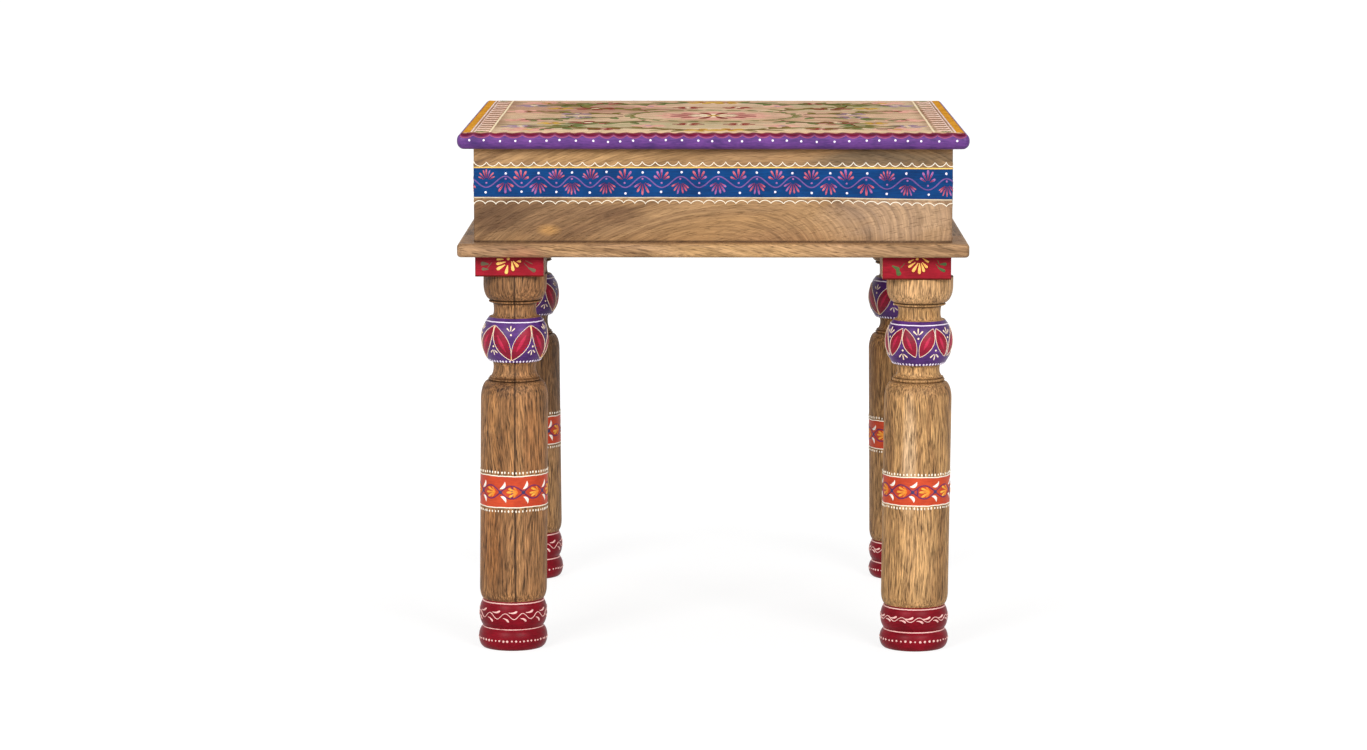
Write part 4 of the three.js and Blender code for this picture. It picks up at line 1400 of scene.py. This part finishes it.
fieldBlossoms = [        # place in one quarter, the petals' paint and reach, and the middle's paint
    (164, 178, "rose", 24, "topOchre"), (174, 138, "topMauve", 18, "topCream"),
    (174, 60, "rose", 20, "topRed"), (112, 96, "topRed", 21, "topCream"),
    (60, 134, "rose", 17, "topMauve"), (12, 186, "topOchre", 17, "topRed"),
    (126, 22, "topMauve", 16, "topCream"), (98, 172, "topRed", 15, "rose"),
    (24, 112, "topRed", 15, "topCream"), (146, 100, "topOchre", 13, "topRed"),
]


def addTopBorder():
    # Pink lines beside the gold, a row of scrolls, a cream line, and a sprig in each corner
    look, surface = topBorder, topFlat(topHigh[2] - topLook["reliefRoom"])
    t = np.linspace(-look["end"], look["end"], 120)
    pinks, creams, scrolls, leaves = [], [], [], []
    for side, creamLine in zip((-1, 1), look["creamLines"]):
        s = side * look["pinkLine"] + wobble(t, 430, 0.25, 400 + side)
        pinks.append(line(surface, s, t, look["pinkWidth"], look["height"]))
        inner = s - side * look["secondLine"]
        pinks.append(line(surface, inner, t, look["pinkWidth"] * look["secondWidth"], look["height"]))
        s = creamLine + wobble(t, 430, 0.3, 410 + side)
        creams.append(line(surface, s, t, look["creamWidth"], look["height"]))
        # each scroll is one sine wave across the border, leaning back
        q = np.linspace(0, 1, 14)
        starts = np.arange(-look["end"] + 14, look["end"] - 12, look["scrollPitch"])
        starts = starts + np.random.default_rng(420 + side).uniform(-1, 1, len(starts))
        s = side * (look["scrollFrom"] + (look["scrollTo"] - look["scrollFrom"]) * q)
        rise = starts[:, None] + look["scrollLean"] * q + look["scrollSway"] * np.sin(fullTurn * q)
        path = pairs(s[None], rise)
        width = look["scrollWidth"] * (0.5 + 0.5 * np.sin(math.pi * q))
        scrolls.append(bead(surface, path, width, look["height"]))
        long, wide = look["sprigLength"], look["sprigWidth"]
        for end in (-1, 1):
            root = [side * look["sprigAt"], end * (look["end"] - 5)]
            for turn in look["sprigTurns"]:
                leaves.append(petal(surface, root, [turn], long, wide, look["height"]))
    addPaint("top_border_pink", pinks, "topPink")
    addPaint("top_border_scrolls", scrolls, "topSalmon")
    addPaint("top_border_cream", creams, "topCream")
    addPaint("top_border_leaves", leaves, "topGreen")


def waveStem(start, end, waves, reach):
    # A stem from one place to another with a sine wave square to its way, which eases in and out
    q = np.linspace(0, 1, topField["stemPoints"])[:, None]
    way = np.array(end, float) - np.array(start, float)
    square = np.array([-way[1], way[0]]) / np.hypot(*way)
    ease = np.sin(math.pi * q) ** 0.3
    return np.array(start) + way * q + square * reach * np.sin(fullTurn * waves * q) * ease


def stemLeaves(stem, pitch, length, width, pick, surface, height):
    # Leaves in pairs along a stem, each pair turned out from the stem's own direction
    step = np.gradient(stem, axis=0)
    run = np.cumsum(np.hypot(step[:, 0], step[:, 1]))
    at = np.arange(pitch * 0.7, run[-1] - pitch * 0.3, pitch)
    roots = np.stack([np.interp(at, run, stem[:, k]) for k in (0, 1)], -1)
    ahead = np.arctan2(np.interp(at, run, step[:, 1]), np.interp(at, run, step[:, 0]))
    leaves = []
    for way in (-1, 1):
        turn = ahead + way * 0.75 + pick.uniform(-0.15, 0.15, len(at))
        size = length * pick.uniform(0.8, 1.15, len(at))
        leaves.append(petal(surface, roots, turn, size, width, height, bend=way * -0.08, rows=8))
    return leaves


def blossom(surface, place, petals, size, width, height, turn=0):
    # Petals in a ring about a place, blunt ends outwards
    around = turn + fullTurn * np.arange(petals) / petals
    start = topField["petalStart"]
    roots = np.array(place) + ways(around) * size * start
    return drop(surface, roots, around, size * (1 - start), width, height, tail=0.3, rows=7)


def addTopField():
    # Symmetrical about both middles: a rosette in a wreath, stems out to the corners and along
    # the front and the back, with leaves and small blossoms
    look, surface = topField, topFlat(topHigh[2] - topLook["reliefRoom"])
    height = look["height"]
    pick = np.random.default_rng(500)
    leaves = {"topGreen": [], "topOlive": []}
    petals = {key: [] for key in ("rose", "topMauve", "topOchre", "topRed", "topCream")}
    corners = [(sx, sy) for sx in (-1, 1) for sy in (-1, 1)]
    stems = []
    for sx, sy in corners:
        for (x0, y0), (x1, y1), waves, reach in fieldStems:
            stems.append(waveStem((sx * x0, sy * y0), (sx * x1, sy * y1), waves, reach * sx * sy))
    size, pitch = (look["leafLength"], look["leafWidth"]), look["leafPitch"]
    for number, stem in enumerate(stems):
        kind = ("topGreen", "topOlive")[number % 2]
        leaves[kind] += stemLeaves(stem, pitch, *size, pick, surface, height)
    for sx, sy in corners:
        for x, y, key, wide, inner in fieldBlossoms:
            place = (sx * x + pick.uniform(-2, 2), sy * y + pick.uniform(-2, 2))
            petals[key].append(blossom(surface, place, 6, wide, wide * 0.55, height, pick.uniform(0, 1)))
            petals[inner].append(dot(surface, [place], wide * 0.22, height + 0.15))
    around = fullTurn * np.arange(look["wreathLeaves"]) / look["wreathLeaves"]
    out = ways(around)
    for ring, turn, kind in ((look["wreath"], 1.15, "topGreen"), (look["wreath"] + 5, 1.9, "topOlive")):
        leaves[kind].append(petal(surface, out * ring, around + turn, 19, 7.5, height, rows=8))
    wide, count = look["rosetteSize"], look["rosettePetals"]
    halfStep = fullTurn / count / 2
    petals["rose"].append(blossom(surface, (0, 0), count, wide * 1.25, 15, height))
    petals["topRed"].append(blossom(surface, (0, 0), count, wide * 0.95, 10, height + 0.08, halfStep))
    petals["topCream"].append(blossom(surface, (0, 0), count, wide * 0.55, 6, height + 0.16))
    petals["topOchre"].append(dot(surface, [[0, 0]], 7, height + 0.2, rows=9))
    paths = [line(surface, stem[:, 0], stem[:, 1], look["stemWidth"], height) for stem in stems]
    addPaint("top_field_stems", paths, "topStem")
    for groups in (leaves, petals):
        for key, parts in groups.items():
            addPaint(f"top_field_{key}", parts, key)


# Leg ornament, from the floor up

foot = {
    "coatLow": 0.5, "coatOver": 0.7, "proud": 0.12, "lineWidth": 0.85, "lineHeight": 0.6, "lineUnder": 1.0,
    "vineWaves": 12, "vineWidth": 0.8, "vineHeight": 0.5, "dropWidth": 1.9, "dropHeight": 0.6,
    "dotRadius": 0.95, "dotHeight": 0.55,
}
footDrops = [
    # the drops over and under the vine: how far back and up their roots are, direction, length
    # and bend, first of the close kind, then of the open one
    {"over": (5.0, 1.0, 0.20, 8.0, -0.13), "under": (2.2, -1.0, -0.35, 6.4, 0.15)},
    {"over": (5.0, 3.5, 0.20, 8.0, -0.13), "under": (2.2, -1.8, -0.62, 6.4, 0.15)},
]
footPlaces = namedRows("vine reach crest dots pitch line drops", {
    # the vine's height, reach and first crest in degrees, the dots' height and pitch, how far over
    # the pinch the line is, and the kind of drops
    "front_left": (31.9, 2.6, -11, 9.3, 3.7, -0.3, 1),
    "front_right": (29.2, 1.9, -24, 9.5, 4.3, -0.4, 0),
    "back_left": (32.5, 2.5, 4, 9.6, 3.9, -0.9, 1),
    "back_right": (28.4, 2.2, -4, 8.8, 4.0, -0.7, 0),
})
belt = {
    "low": 131, "high": 158.2, "wander": 0.5, "proud": 0.14, "lineWidth": 1.05, "lineHeight": 0.5,
    "dotPitch": 3.25, "dotRadius": 0.66, "dotTall": 1.6, "dotHeight": 0.5, "middleUnder": 0.3,
    "lenses": 9, "reach": 5.9, "waveWidth": 1.3, "waveHeight": 0.35, "knotRadius": 1.9, "knotHeight": 0.42,
    "commaWidth": 3.0, "commaHeight": 0.6, "bloomRoot": 5.4, "bloom": 10.2, "bloomWidth": 2.05,
    "flameShare": 0.7, "flameWidth": 0.82, "sideTurns": (0.95, -0.95), "sideLength": 6.0, "sideWidth": 1.7,
}
beltPlaces = namedRows("low high outLow outHigh first lie", {
    # what the lower and the upper line gain, how far out each one's dots are, the first crossing in
    # degrees, and the kind of strokes
    "front_left": (-0.9, 0, 3.5, 3.1, 19, 0),
    "front_right": (1.1, -0.7, 2.5, 2.2, -8.7, 1),
    "back_left": (2.2, 2.2, 3.0, 3.0, 0, 0),
    "back_right": (-1.8, -1.8, 2.6, 2.6, 20, 1),
})
commaShapes = [
    # each stroke's root from the crossing, direction, length and bend: first of the upright kind,
    # then of the lying one
    {"over": (-1.0, 2.9, 0.98, 8.568, -0.22), "under": (-0.2, -3.9, -0.93, 7.752, 0.22)},
    {"over": (-3.1, 5.0, 0.62, 8.364, -0.25), "under": (-3.8, -4.0, -0.80, 7.446, 0.28)},
]
ballPaint = {
    "low": 0.3, "high": 0.4, "proud": 0.12, "line": 36.2, "lineWidth": 0.95, "lineHeight": 0.5, "lag": 1.0,
    "dots": 1.2, "dotCount": 48, "dotRadius": 1.0625, "dotHeight": 0.5,
    "outline": 0.58, "outlineHeight": 0.55, "leafRound": 0.78, "leafHeight": 0.36, "fillShare": 1.05,
    # the light stroke in each leaf is a painted highlight
    "lightFrom": 0.2, "lightLength": 0.6, "lightWidth": 0.3, "lightHeight": 0.46,
    "tipLength": 6.0, "tipWidth": 1.1, "tipHeight": 0.6,
    "flowerWidth": 1.25, "flowerHeight": 0.5, "flowerDot": 0.95, "flowerDotRight": 0.4, "dotUnder": 3.2,
    # the lean, shift and length of a little flower's three petals
    "flowerPetals": ((-0.85, -0.9, 4.2), (0, 0, 4.8), (0.85, 0.9, 4.2)),
}
plainBall = {
    # leaf pairs, where the first low point is in degrees, the gaps at the low and the high points,
    # the heights of both, the leaf's width, the little flowers' size and heights, and whether the
    # leaves have yellow tips
    "repeats": 5, "turn": 20, "lowGap": 1.0, "highGap": 1.0, "apexLow": 4.0, "apexHigh": 33.2,
    "width": 12.8, "flower": 1.0, "flowerHigh": 28.4, "flowerLow": 12.0, "tips": True,
}
ballPlaces = {
    "front_left": {
        **plainBall, "turn": -4, "lowGap": 0.6, "highGap": 0.9, "apexLow": 2.8,
        "width": 13.2, "flowerHigh": 28.9,
    },
    "front_right": {
        **plainBall, "repeats": 6, "turn": -4.5, "lowGap": 2.0, "highGap": 1.4, "apexLow": 8.6,
        "apexHigh": 33.4, "width": 11.8, "flower": 1.2, "flowerLow": 11.2, "tips": False,
    },
    "back_left": {**plainBall, "turn": 70, "lowGap": 1.2, "apexHigh": 33.4, "flowerHigh": 28.6},
    "back_right": plainBall,
}
blockPaint = {
    # the rim lines are painted shadow along the block's top and bottom
    "proud": 0.15, "rim": 1.6, "rimHeight": 0.2, "rimUnder": 0.6, "rimOver": 0.5,
    "petalHeight": 0.6, "backWider": 1.9, "backHeight": 0.22,
    "rootRadius": 1.35, "stemWidth": 0.8, "stemHeight": 0.3, "leafHeight": 0.4,
}
blockFans = [
    # two fans. Each stroke is given from the fan's root: tail right and down, tip right and down,
    # and its width, which all stems share
    {
        "root": (-1.0, 2.4),
        "petals": [
            (-4.1, 0.3, -9.6, 0.3, 2.3), (-2.3, 2.7, -9.8, 4.3, 2.8), (-2.9, 5.3, -9.4, 8.9, 3.0),
            (-0.6, 5.6, -1.9, 12.3, 3.1), (3.0, 2.2, 4.1, 9.8, 3.0), (4.1, 1.8, 8.1, 6.4, 2.9),
            (7.4, 2.3, 10.3, 2.1, 2.5),
        ],
        "stems": [(-14.5, 3.0, -18.5, 8.0), (14.0, 4.0, 20.0, 10.0), (15.0, 1.5, 21.5, 4.6)],
        "leaves": [
            (-17.5, 4.6, -23.0, 4.2, 4.0), (-17.6, 9.3, -22.5, 9.0, 3.0), (17.5, 8.0, 22.8, 10.4, 3.6),
        ],
    },
    {
        "root": (0.3, 2.2),
        "petals": [
            (-3.0, 0.4, -7.2, 2.9, 2.1), (-1.4, 3.0, -7.1, 7.0, 2.3), (1.0, 3.5, -3.4, 10.6, 2.9),
            (2.1, 3.5, 2.1, 12.4, 2.8), (3.6, 3.5, 6.0, 10.7, 2.6), (4.5, 3.0, 8.6, 7.2, 2.4),
            (4.7, -0.8, 9.7, 2.6, 2.1),
        ],
        "stems": [(-11.0, 4.0, -14.5, 8.0), (16.5, 4.4, 21.5, 11.0), (18.0, 1.0, 19.5, 5.0)],
        "leaves": [
            (-22.0, 6.0, -16.5, 9.0, 3.4), (-18.2, 7.4, -16.0, 13.2, 4.6), (20.0, 4.6, 25.0, 4.6, 3.0),
            (18.4, 7.6, 24.0, 10.6, 2.8),
        ],
    },
]
angles = np.linspace(0, 1, 97)[:-1]


def addFootPaint(leg, surface, total, seed):
    # A red coat over both rolls, a line in each groove, a waving vine with drops and a row of dots
    look, name, heights = foot, leg["name"], leg["heights"]
    place = footPlaces[name]
    ups = np.linspace(look["coatLow"], heights["heel"] + look["coatOver"], 34)
    coat = skin(surface, angles * total, ups, look["proud"], closed=True)
    addPaint(f"foot_coat_{name}", [coat], "crimson")
    s = np.linspace(0, total, 260)[:-1]
    parts = []
    for t in (heights["footPinch"] + place["line"], heights["heel"] - look["lineUnder"]):
        t = t + wobble(s, total, 0.15, seed)
        parts.append(line(surface, s, t, look["lineWidth"], look["lineHeight"], total))
    pick = np.random.default_rng(seed)
    waves, middle = look["vineWaves"], place["vine"]
    pitch = total / waves
    start = place["crest"] / 360 * total
    wave = place["reach"] * np.cos((s - start) / pitch * fullTurn)
    t = middle + wave + wobble(s, total, 0.25, seed + 1)
    parts.append(line(surface, s, t, look["vineWidth"], look["vineHeight"], total))
    crests = start + np.arange(waves) * pitch
    troughs = crests + pitch / 2
    wide, tall = look["dropWidth"], look["dropHeight"]
    for key, spots in (("over", troughs), ("under", crests)):
        back, up, direction, length, bend = footDrops[place["drops"]][key]
        root = pairs(spots - back, middle + up)
        turn = pick.normal(direction, 0.05, waves)
        parts.append(drop(surface, root, turn, length, wide, tall, bend=bend, tail=0.2))
    count = round(total / place["pitch"])
    along = roundPlaces(count, total, 0.12, pick)
    spots = pairs(along, place["dots"] + pick.uniform(-0.25, 0.25, count))
    sizes = look["dotRadius"] * pick.uniform(0.8, 1.2, count)
    parts.append(dot(surface, spots, sizes, look["dotHeight"]))
    addPaint(f"foot_lines_{name}", parts, "blush")


def addBeltPaint(leg, surface, total, seed):
    # An orange coat between two lines with dots, and on it two crossing waves
    look, name = belt, leg["name"]
    place, wander = beltPlaces[name], look["wander"]
    around = angles * total
    pick = np.random.default_rng(seed)
    lowLine, highLine = look["low"] + place["low"], look["high"] + place["high"]
    low = lowLine + wobble(around, total, wander, seed, 3)
    high = highLine + wobble(around, total, wander, seed + 1, 3)
    coat = skin(surface, around, pairs(low, high), look["proud"], closed=True)
    addPaint(f"belt_coat_{name}", [coat], "orange")
    s = np.linspace(0, total, 320)[:-1]
    edges = []
    count = round(total / look["dotPitch"])
    for t, seedShift, out in ((lowLine, 0, -place["outLow"]), (highLine, 1, place["outHigh"])):
        border = t + wobble(s, total, wander, seed + seedShift, 3)
        edges.append(line(surface, s, border, look["lineWidth"], look["lineHeight"], total))
        along = roundPlaces(count, total, 0.12, pick)
        heights = t + wobble(along, total, wander, seed + seedShift, 3) + out
        heights = heights + pick.uniform(-0.2, 0.2, count)
        sizes = look["dotRadius"] * pick.uniform(0.85, 1.25, count)
        spots = pairs(along, heights)
        edges.append(dot(surface, spots, sizes, look["dotHeight"], tall=look["dotTall"]))
    middle = (lowLine + highLine) / 2 - look["middleUnder"]
    pitch = total / look["lenses"]
    start = place["first"] / 360 * total
    phase = (s - start) / pitch * math.pi
    sway = (look["reach"] + wobble(s, total, 0.6, seed + 2, 3)) * np.sin(phase)
    waves = []
    for way in (1, -1):
        waves.append(line(surface, s, middle + way * sway, look["waveWidth"], look["waveHeight"], total))
    addPaint(f"belt_waves_{name}", waves, "plum")
    crossings = start + np.arange(look["lenses"]) * pitch
    addBeltFlowers(name, surface, crossings, middle, pitch, edges, pick)


def addBeltFlowers(name, surface, crossings, middle, pitch, edges, pick):
    # A knot and two strokes at each crossing of the waves, and a blossom in each lens
    look, count = belt, len(crossings)
    knots = dot(surface, pairs(crossings, middle), look["knotRadius"], look["knotHeight"])
    addPaint(f"belt_knots_{name}", [knots], "ink")
    commas = []
    wide, tall = look["commaWidth"], look["commaHeight"]
    for key in ("over", "under"):
        right, up, direction, length, bend = commaShapes[beltPlaces[name]["lie"]][key]
        root = pairs(crossings + right, middle + up)
        turn = pick.normal(direction, 0.06, count)
        commas.append(petal(surface, root, turn, length, wide, tall, bend=bend, rows=11))
    addPaint(f"belt_lines_{name}", edges, "warmWhite")
    addPaint(f"belt_strokes_{name}", commas, "white")
    roots = pairs(crossings + pitch / 2 + look["bloomRoot"], middle)
    blooms, flames = [], []
    for turn, share in ((0, 1.0), (0.46, 0.9), (-0.46, 0.9)):
        turns = math.pi + turn + pick.normal(0, 0.06, count)
        length = look["bloom"] * share
        blooms.append(drop(surface, roots, turns, length, look["bloomWidth"], 0.55, tail=0.25))
        length = length * look["flameShare"]
        flames.append(drop(surface, roots, turns, length, look["flameWidth"], 0.7, tail=0.4, rows=6))
    for turn in look["sideTurns"]:
        turns = math.pi + turn + pick.normal(0, 0.06, count)
        length, width = look["sideLength"], look["sideWidth"]
        flames.append(drop(surface, roots, turns, length, width, 0.5, tail=0.3, rows=6))
    addPaint(f"belt_blooms_{name}", blooms, "lemon")
    addPaint(f"belt_flames_{name}", flames, "marigold")


def leafOutline(surface, low, high, width, power, lineWidth, height):
    # A closed line round each leaf: out along one half sine wave, made rounder, and back along
    # the other
    t = (1 - np.cos(math.pi * np.linspace(0, 1, 31))) / 2
    chord = high - low
    size = np.linalg.norm(chord, axis=1)[:, None]
    forward = chord / size
    sideways = pairs(-forward[:, 1], forward[:, 0])
    reach = width / 2 * np.sin(math.pi * t) ** power
    there = low[:, None] + chord[:, None] * t[None, :, None] + sideways[:, None] * reach[None, :, None]
    back = low[:, None] + chord[:, None] * t[None, :, None] - sideways[:, None] * reach[None, :, None]
    path = np.concatenate([there, back[:, ::-1][:, 1:-1]], 1)
    return bead(surface, path, lineWidth, height, period=0.0)


def leafFill(surface, low, high, width, power, height):
    # The leaf inside that outline
    t = (1 - np.cos(math.pi * np.linspace(0.03, 0.97, 17))) / 2
    path = low[:, None] + (high - low)[:, None] * t[None, :, None]
    share = np.sin(math.pi * t) ** power
    return bead(surface, path, width * share[None], height * share[None] ** 0.5)


def addBallPaint(leg, surface, total, seed):
    # A purple coat with a line near its top and dots near its bottom, and leaves and flowers
    # between them
    look, name = ballPaint, leg["name"]
    place, bottom = ballPlaces[name], leg["heights"]["ball"]
    ups = np.linspace(bottom + look["low"], bottom + legLook["ballHeight"] - look["high"], 30)
    coat = skin(surface, angles * total, ups, look["proud"], closed=True)
    addPaint(f"ball_coat_{name}", [coat], "ballPurple")
    pick = np.random.default_rng(seed)
    s = np.linspace(0, total, 260)[:-1]
    t = bottom + look["line"] + wobble(s, total, 0.25, seed, 3)
    border = line(surface, s, t, look["lineWidth"], look["lineHeight"], total)
    dots = look["dotCount"]
    along = roundPlaces(dots, total, 0.1, pick)
    spots = pairs(along, bottom + look["dots"] + pick.uniform(-0.15, 0.15, dots))
    sizes = look["dotRadius"] * pick.uniform(0.85, 1.15, dots)
    pitch = total / place["repeats"]
    lows = math.radians(place["turn"]) * legLook["shaftRadius"] + np.arange(place["repeats"]) * pitch
    highs = lows + pitch / 2 + look["lag"]
    addBallLeaves(name, surface, bottom, lows, highs, pitch)
    addPaint(f"ball_lines_{name}", [border, dot(surface, spots, sizes, look["dotHeight"])], "lilac")
    addBallFlowers(name, surface, bottom, lows, highs, pick)


def addBallLeaves(name, surface, bottom, lows, highs, pitch):
    # A zigzag of outlined leaves, each with a lighter stroke down it as a painted highlight, and a small tip
    # at its ends
    look, place = ballPaint, ballPlaces[name]
    lowApex, highApex = bottom + place["apexLow"], bottom + place["apexHigh"]
    lowGap, highGap = place["lowGap"], place["highGap"]
    rising = pairs(lows + lowGap, lowApex), pairs(highs - highGap, highApex)
    falling = pairs(lows - lowGap, lowApex), pairs(highs - pitch + highGap, highApex)
    starts, ends = (np.concatenate(pair) for pair in zip(rising, falling))
    chord = ends - starts
    turn = np.arctan2(chord[:, 1], chord[:, 0])
    width, power = place["width"], look["leafRound"]
    fill = leafFill(surface, starts, ends, width * look["fillShare"], power, look["leafHeight"])
    # a lighter pink stroke along each leaf, painted as its highlight
    root = starts + chord * look["lightFrom"]
    length, wide = np.linalg.norm(chord, axis=1) * look["lightLength"], width * look["lightWidth"]
    glow = petal(surface, root, turn, length, wide, look["lightHeight"], bend=0.03, rows=11)
    outline = leafOutline(surface, starts, ends, width, power, look["outline"], look["outlineHeight"])
    addPaint(f"ball_leaves_{name}", [fill], "scarlet")
    addPaint(f"ball_leaf_painted_highlights_{name}", [glow], "ember")
    addPaint(f"ball_outlines_{name}", [outline], "cream")
    if place["tips"]:
        tips = []
        for x, height, way in ((lows, lowApex, 1), (highs, highApex, -1)):
            root, turn = pairs(x, height - way), np.full(len(x), way * quarter)
            tips.append(petal(surface, root, turn, look["tipLength"], look["tipWidth"], look["tipHeight"]))
        addPaint(f"ball_leaf_tips_{name}", tips, "yellow")


def addBallFlowers(name, surface, bottom, lows, highs, pick):
    # Little flowers of three petals and a dot, upright over the low points and hanging elsewhere
    look, place = ballPaint, ballPlaces[name]
    flowers = []
    for x, height, up in ((lows, place["flowerHigh"], 1), (highs, place["flowerLow"], -1)):
        middle = x + pick.uniform(-0.5, 0.5, len(x))
        scale = place["flower"]
        for lean, shift, length in look["flowerPetals"]:
            root = pairs(middle + shift, bottom + height)
            turn = np.full(len(x), up * (quarter - lean))
            width = look["flowerWidth"] * scale
            flowers.append(drop(surface, root, turn, length * scale, width, look["flowerHeight"], tail=0.25))
        root = pairs(middle + look["flowerDotRight"], bottom + height - up * look["dotUnder"])
        flowers.append(dot(surface, root, look["flowerDot"], look["flowerHeight"]))
    addPaint(f"ball_motifs_{name}", flowers, "cream")


def strokes(surface, root, rows, height, tail, flip):
    # Teardrops from a table of tail right and down, tip right and down, and width
    table = np.array(rows, float)
    ends = table[:, :4].reshape(-1, 2, 2) * [flip, -1]
    way = ends[:, 1] - ends[:, 0]
    length = np.hypot(way[:, 0], way[:, 1]) + table[:, 4] * 0.4
    turn = np.arctan2(way[:, 1], way[:, 0])
    return drop(surface, root + ends[:, 0], turn, length, table[:, 4], height, tail=tail)


def addBlockPaint(leg):
    # Each outer face has a fan of petals, with a few leaves at its sides, and dark lines along its top and
    # bottom that are painted shadow under the ledge and over the cup
    look, name = blockPaint, leg["name"]
    half = legLook["block"] / 2
    surface, length = uprightSides(half, legLook["blockCorner"], leg["block"])
    firstSide = {"front_left": 3, "front_right": 0, "back_right": 1, "back_left": 2}[name]
    alongs = sideSteps(half, legLook["blockCorner"], 6, firstSide, 2)
    bottom, top = leg["heights"]["blockBottom"], ledgeLow[2]
    coat = skin(surface, alongs, np.array([bottom + 0.2, top - 0.1]), look["proud"])
    addPaint(f"block_coat_{name}", [coat], "blockRed")
    fans, backs, greens = [], [], []
    for side in (firstSide, firstSide + 1):
        isFront = side % 4 == 0
        kind = blockFans[1 if (name == "front_right") == isFront else 0]
        flip = 1 if isFront else -1
        root = np.array([(side + 0.5) * length + kind["root"][0], top - kind["root"][1]])
        fans.append(strokes(surface, root, kind["petals"], look["petalHeight"], 0.22, flip))
        fans.append(dot(surface, [root], look["rootRadius"], look["petalHeight"], rows=9))
        wider = [row[:4] + (row[4] + look["backWider"],) for row in kind["petals"]]
        backs.append(strokes(surface, root, wider, look["backHeight"], 0.4, flip))
        stems = [row + (look["stemWidth"],) for row in kind["stems"]]
        greens.append(strokes(surface, root, stems, look["stemHeight"], 0.8, flip))
        greens.append(strokes(surface, root, kind["leaves"], look["leafHeight"], 0.35, flip))
    # dark lines at the block's top and bottom: painted shadow under the ledge and over the cup
    shadowLines = []
    for t in (top - look["rimUnder"], bottom + look["rimOver"]):
        shadowLines.append(line(surface, alongs, t, look["rim"], look["rimHeight"]))
    addPaint(f"block_fan_backs_and_shadow_lines_{name}", backs + shadowLines, "darkRedAndShadow")
    addPaint(f"block_fans_{name}", fans, "yellow")
    green = "leafGreen" if name == "front_right" else "dullGreen"
    addPaint(f"block_leaves_{name}", greens, green)


addApronBand()
addTopEdge()
addTopBorder()
addTopField()
for number, leg in enumerate(legs):
    unit = legLook["shaftRadius"]
    surface = turnedSide(leg["curve"], leg["middle"], leg["lean"], unit)
    around = fullTurn * unit
    addFootPaint(leg, surface, around, 100 + 10 * number)
    addBeltPaint(leg, surface, around, 200 + 10 * number)
    addBallPaint(leg, surface, around, 300 + 10 * number)
    addBlockPaint(leg)
print("ornament made")


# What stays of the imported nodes: blocks, cleats, bolts and screws

innerWoods = {
    "block": {"grain": "z", "seed": 88.0, "centre": (0, 0, 60), "light": "#b4966b", "middle": "#9e7e53"},
    "cleat": {"grain": "y", "seed": 91.0, "centre": (0, 60, 0), "light": "#b4966b", "middle": "#9b7a4e"},
}


def steelMaterial():
    # Zinc-plated steel: faint blotches in its shine and fine scratches
    material, tree, shader, place = startMaterial("zinc_steel")
    place = stretched(tree, place, (1 / toMetres,) * 3)
    blotch = noise(tree, stretched(tree, place, (0.25, 0.25, 0.25)), 3.0, 0.6)
    scratch = noise(tree, stretched(tree, place, (0.3, 0.3, 4.0)), 2.0, 0.6)
    colour = mix(tree, ramp(tree, blotch, 0.35, 0.65), linear("#8e9194"), linear("#c3c5c2"))
    tree.links.new(colour, shader.inputs["Base Color"])
    shader.inputs["Metallic"].default_value = 1.0
    roughBy(tree, shader, scratch, 0.25, 0.5)
    bump(tree, shader, scratch, 0.03)
    return material


def dressNodes():
    steel = steelMaterial()
    innerWood = mangoWood("wood_inner", **innerWoods["block"])
    cleatWood = mangoWood("wood_cleat", **innerWoods["cleat"])
    for name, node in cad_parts.items():
        if node.hide_render:
            continue
        isWood = name.startswith(("corner_block", "top_cleat"))
        chosen = (cleatWood if "cleat" in name else innerWood) if isWood else steel
        node.data.materials.clear()
        node.data.materials.append(chosen)


dressNodes()
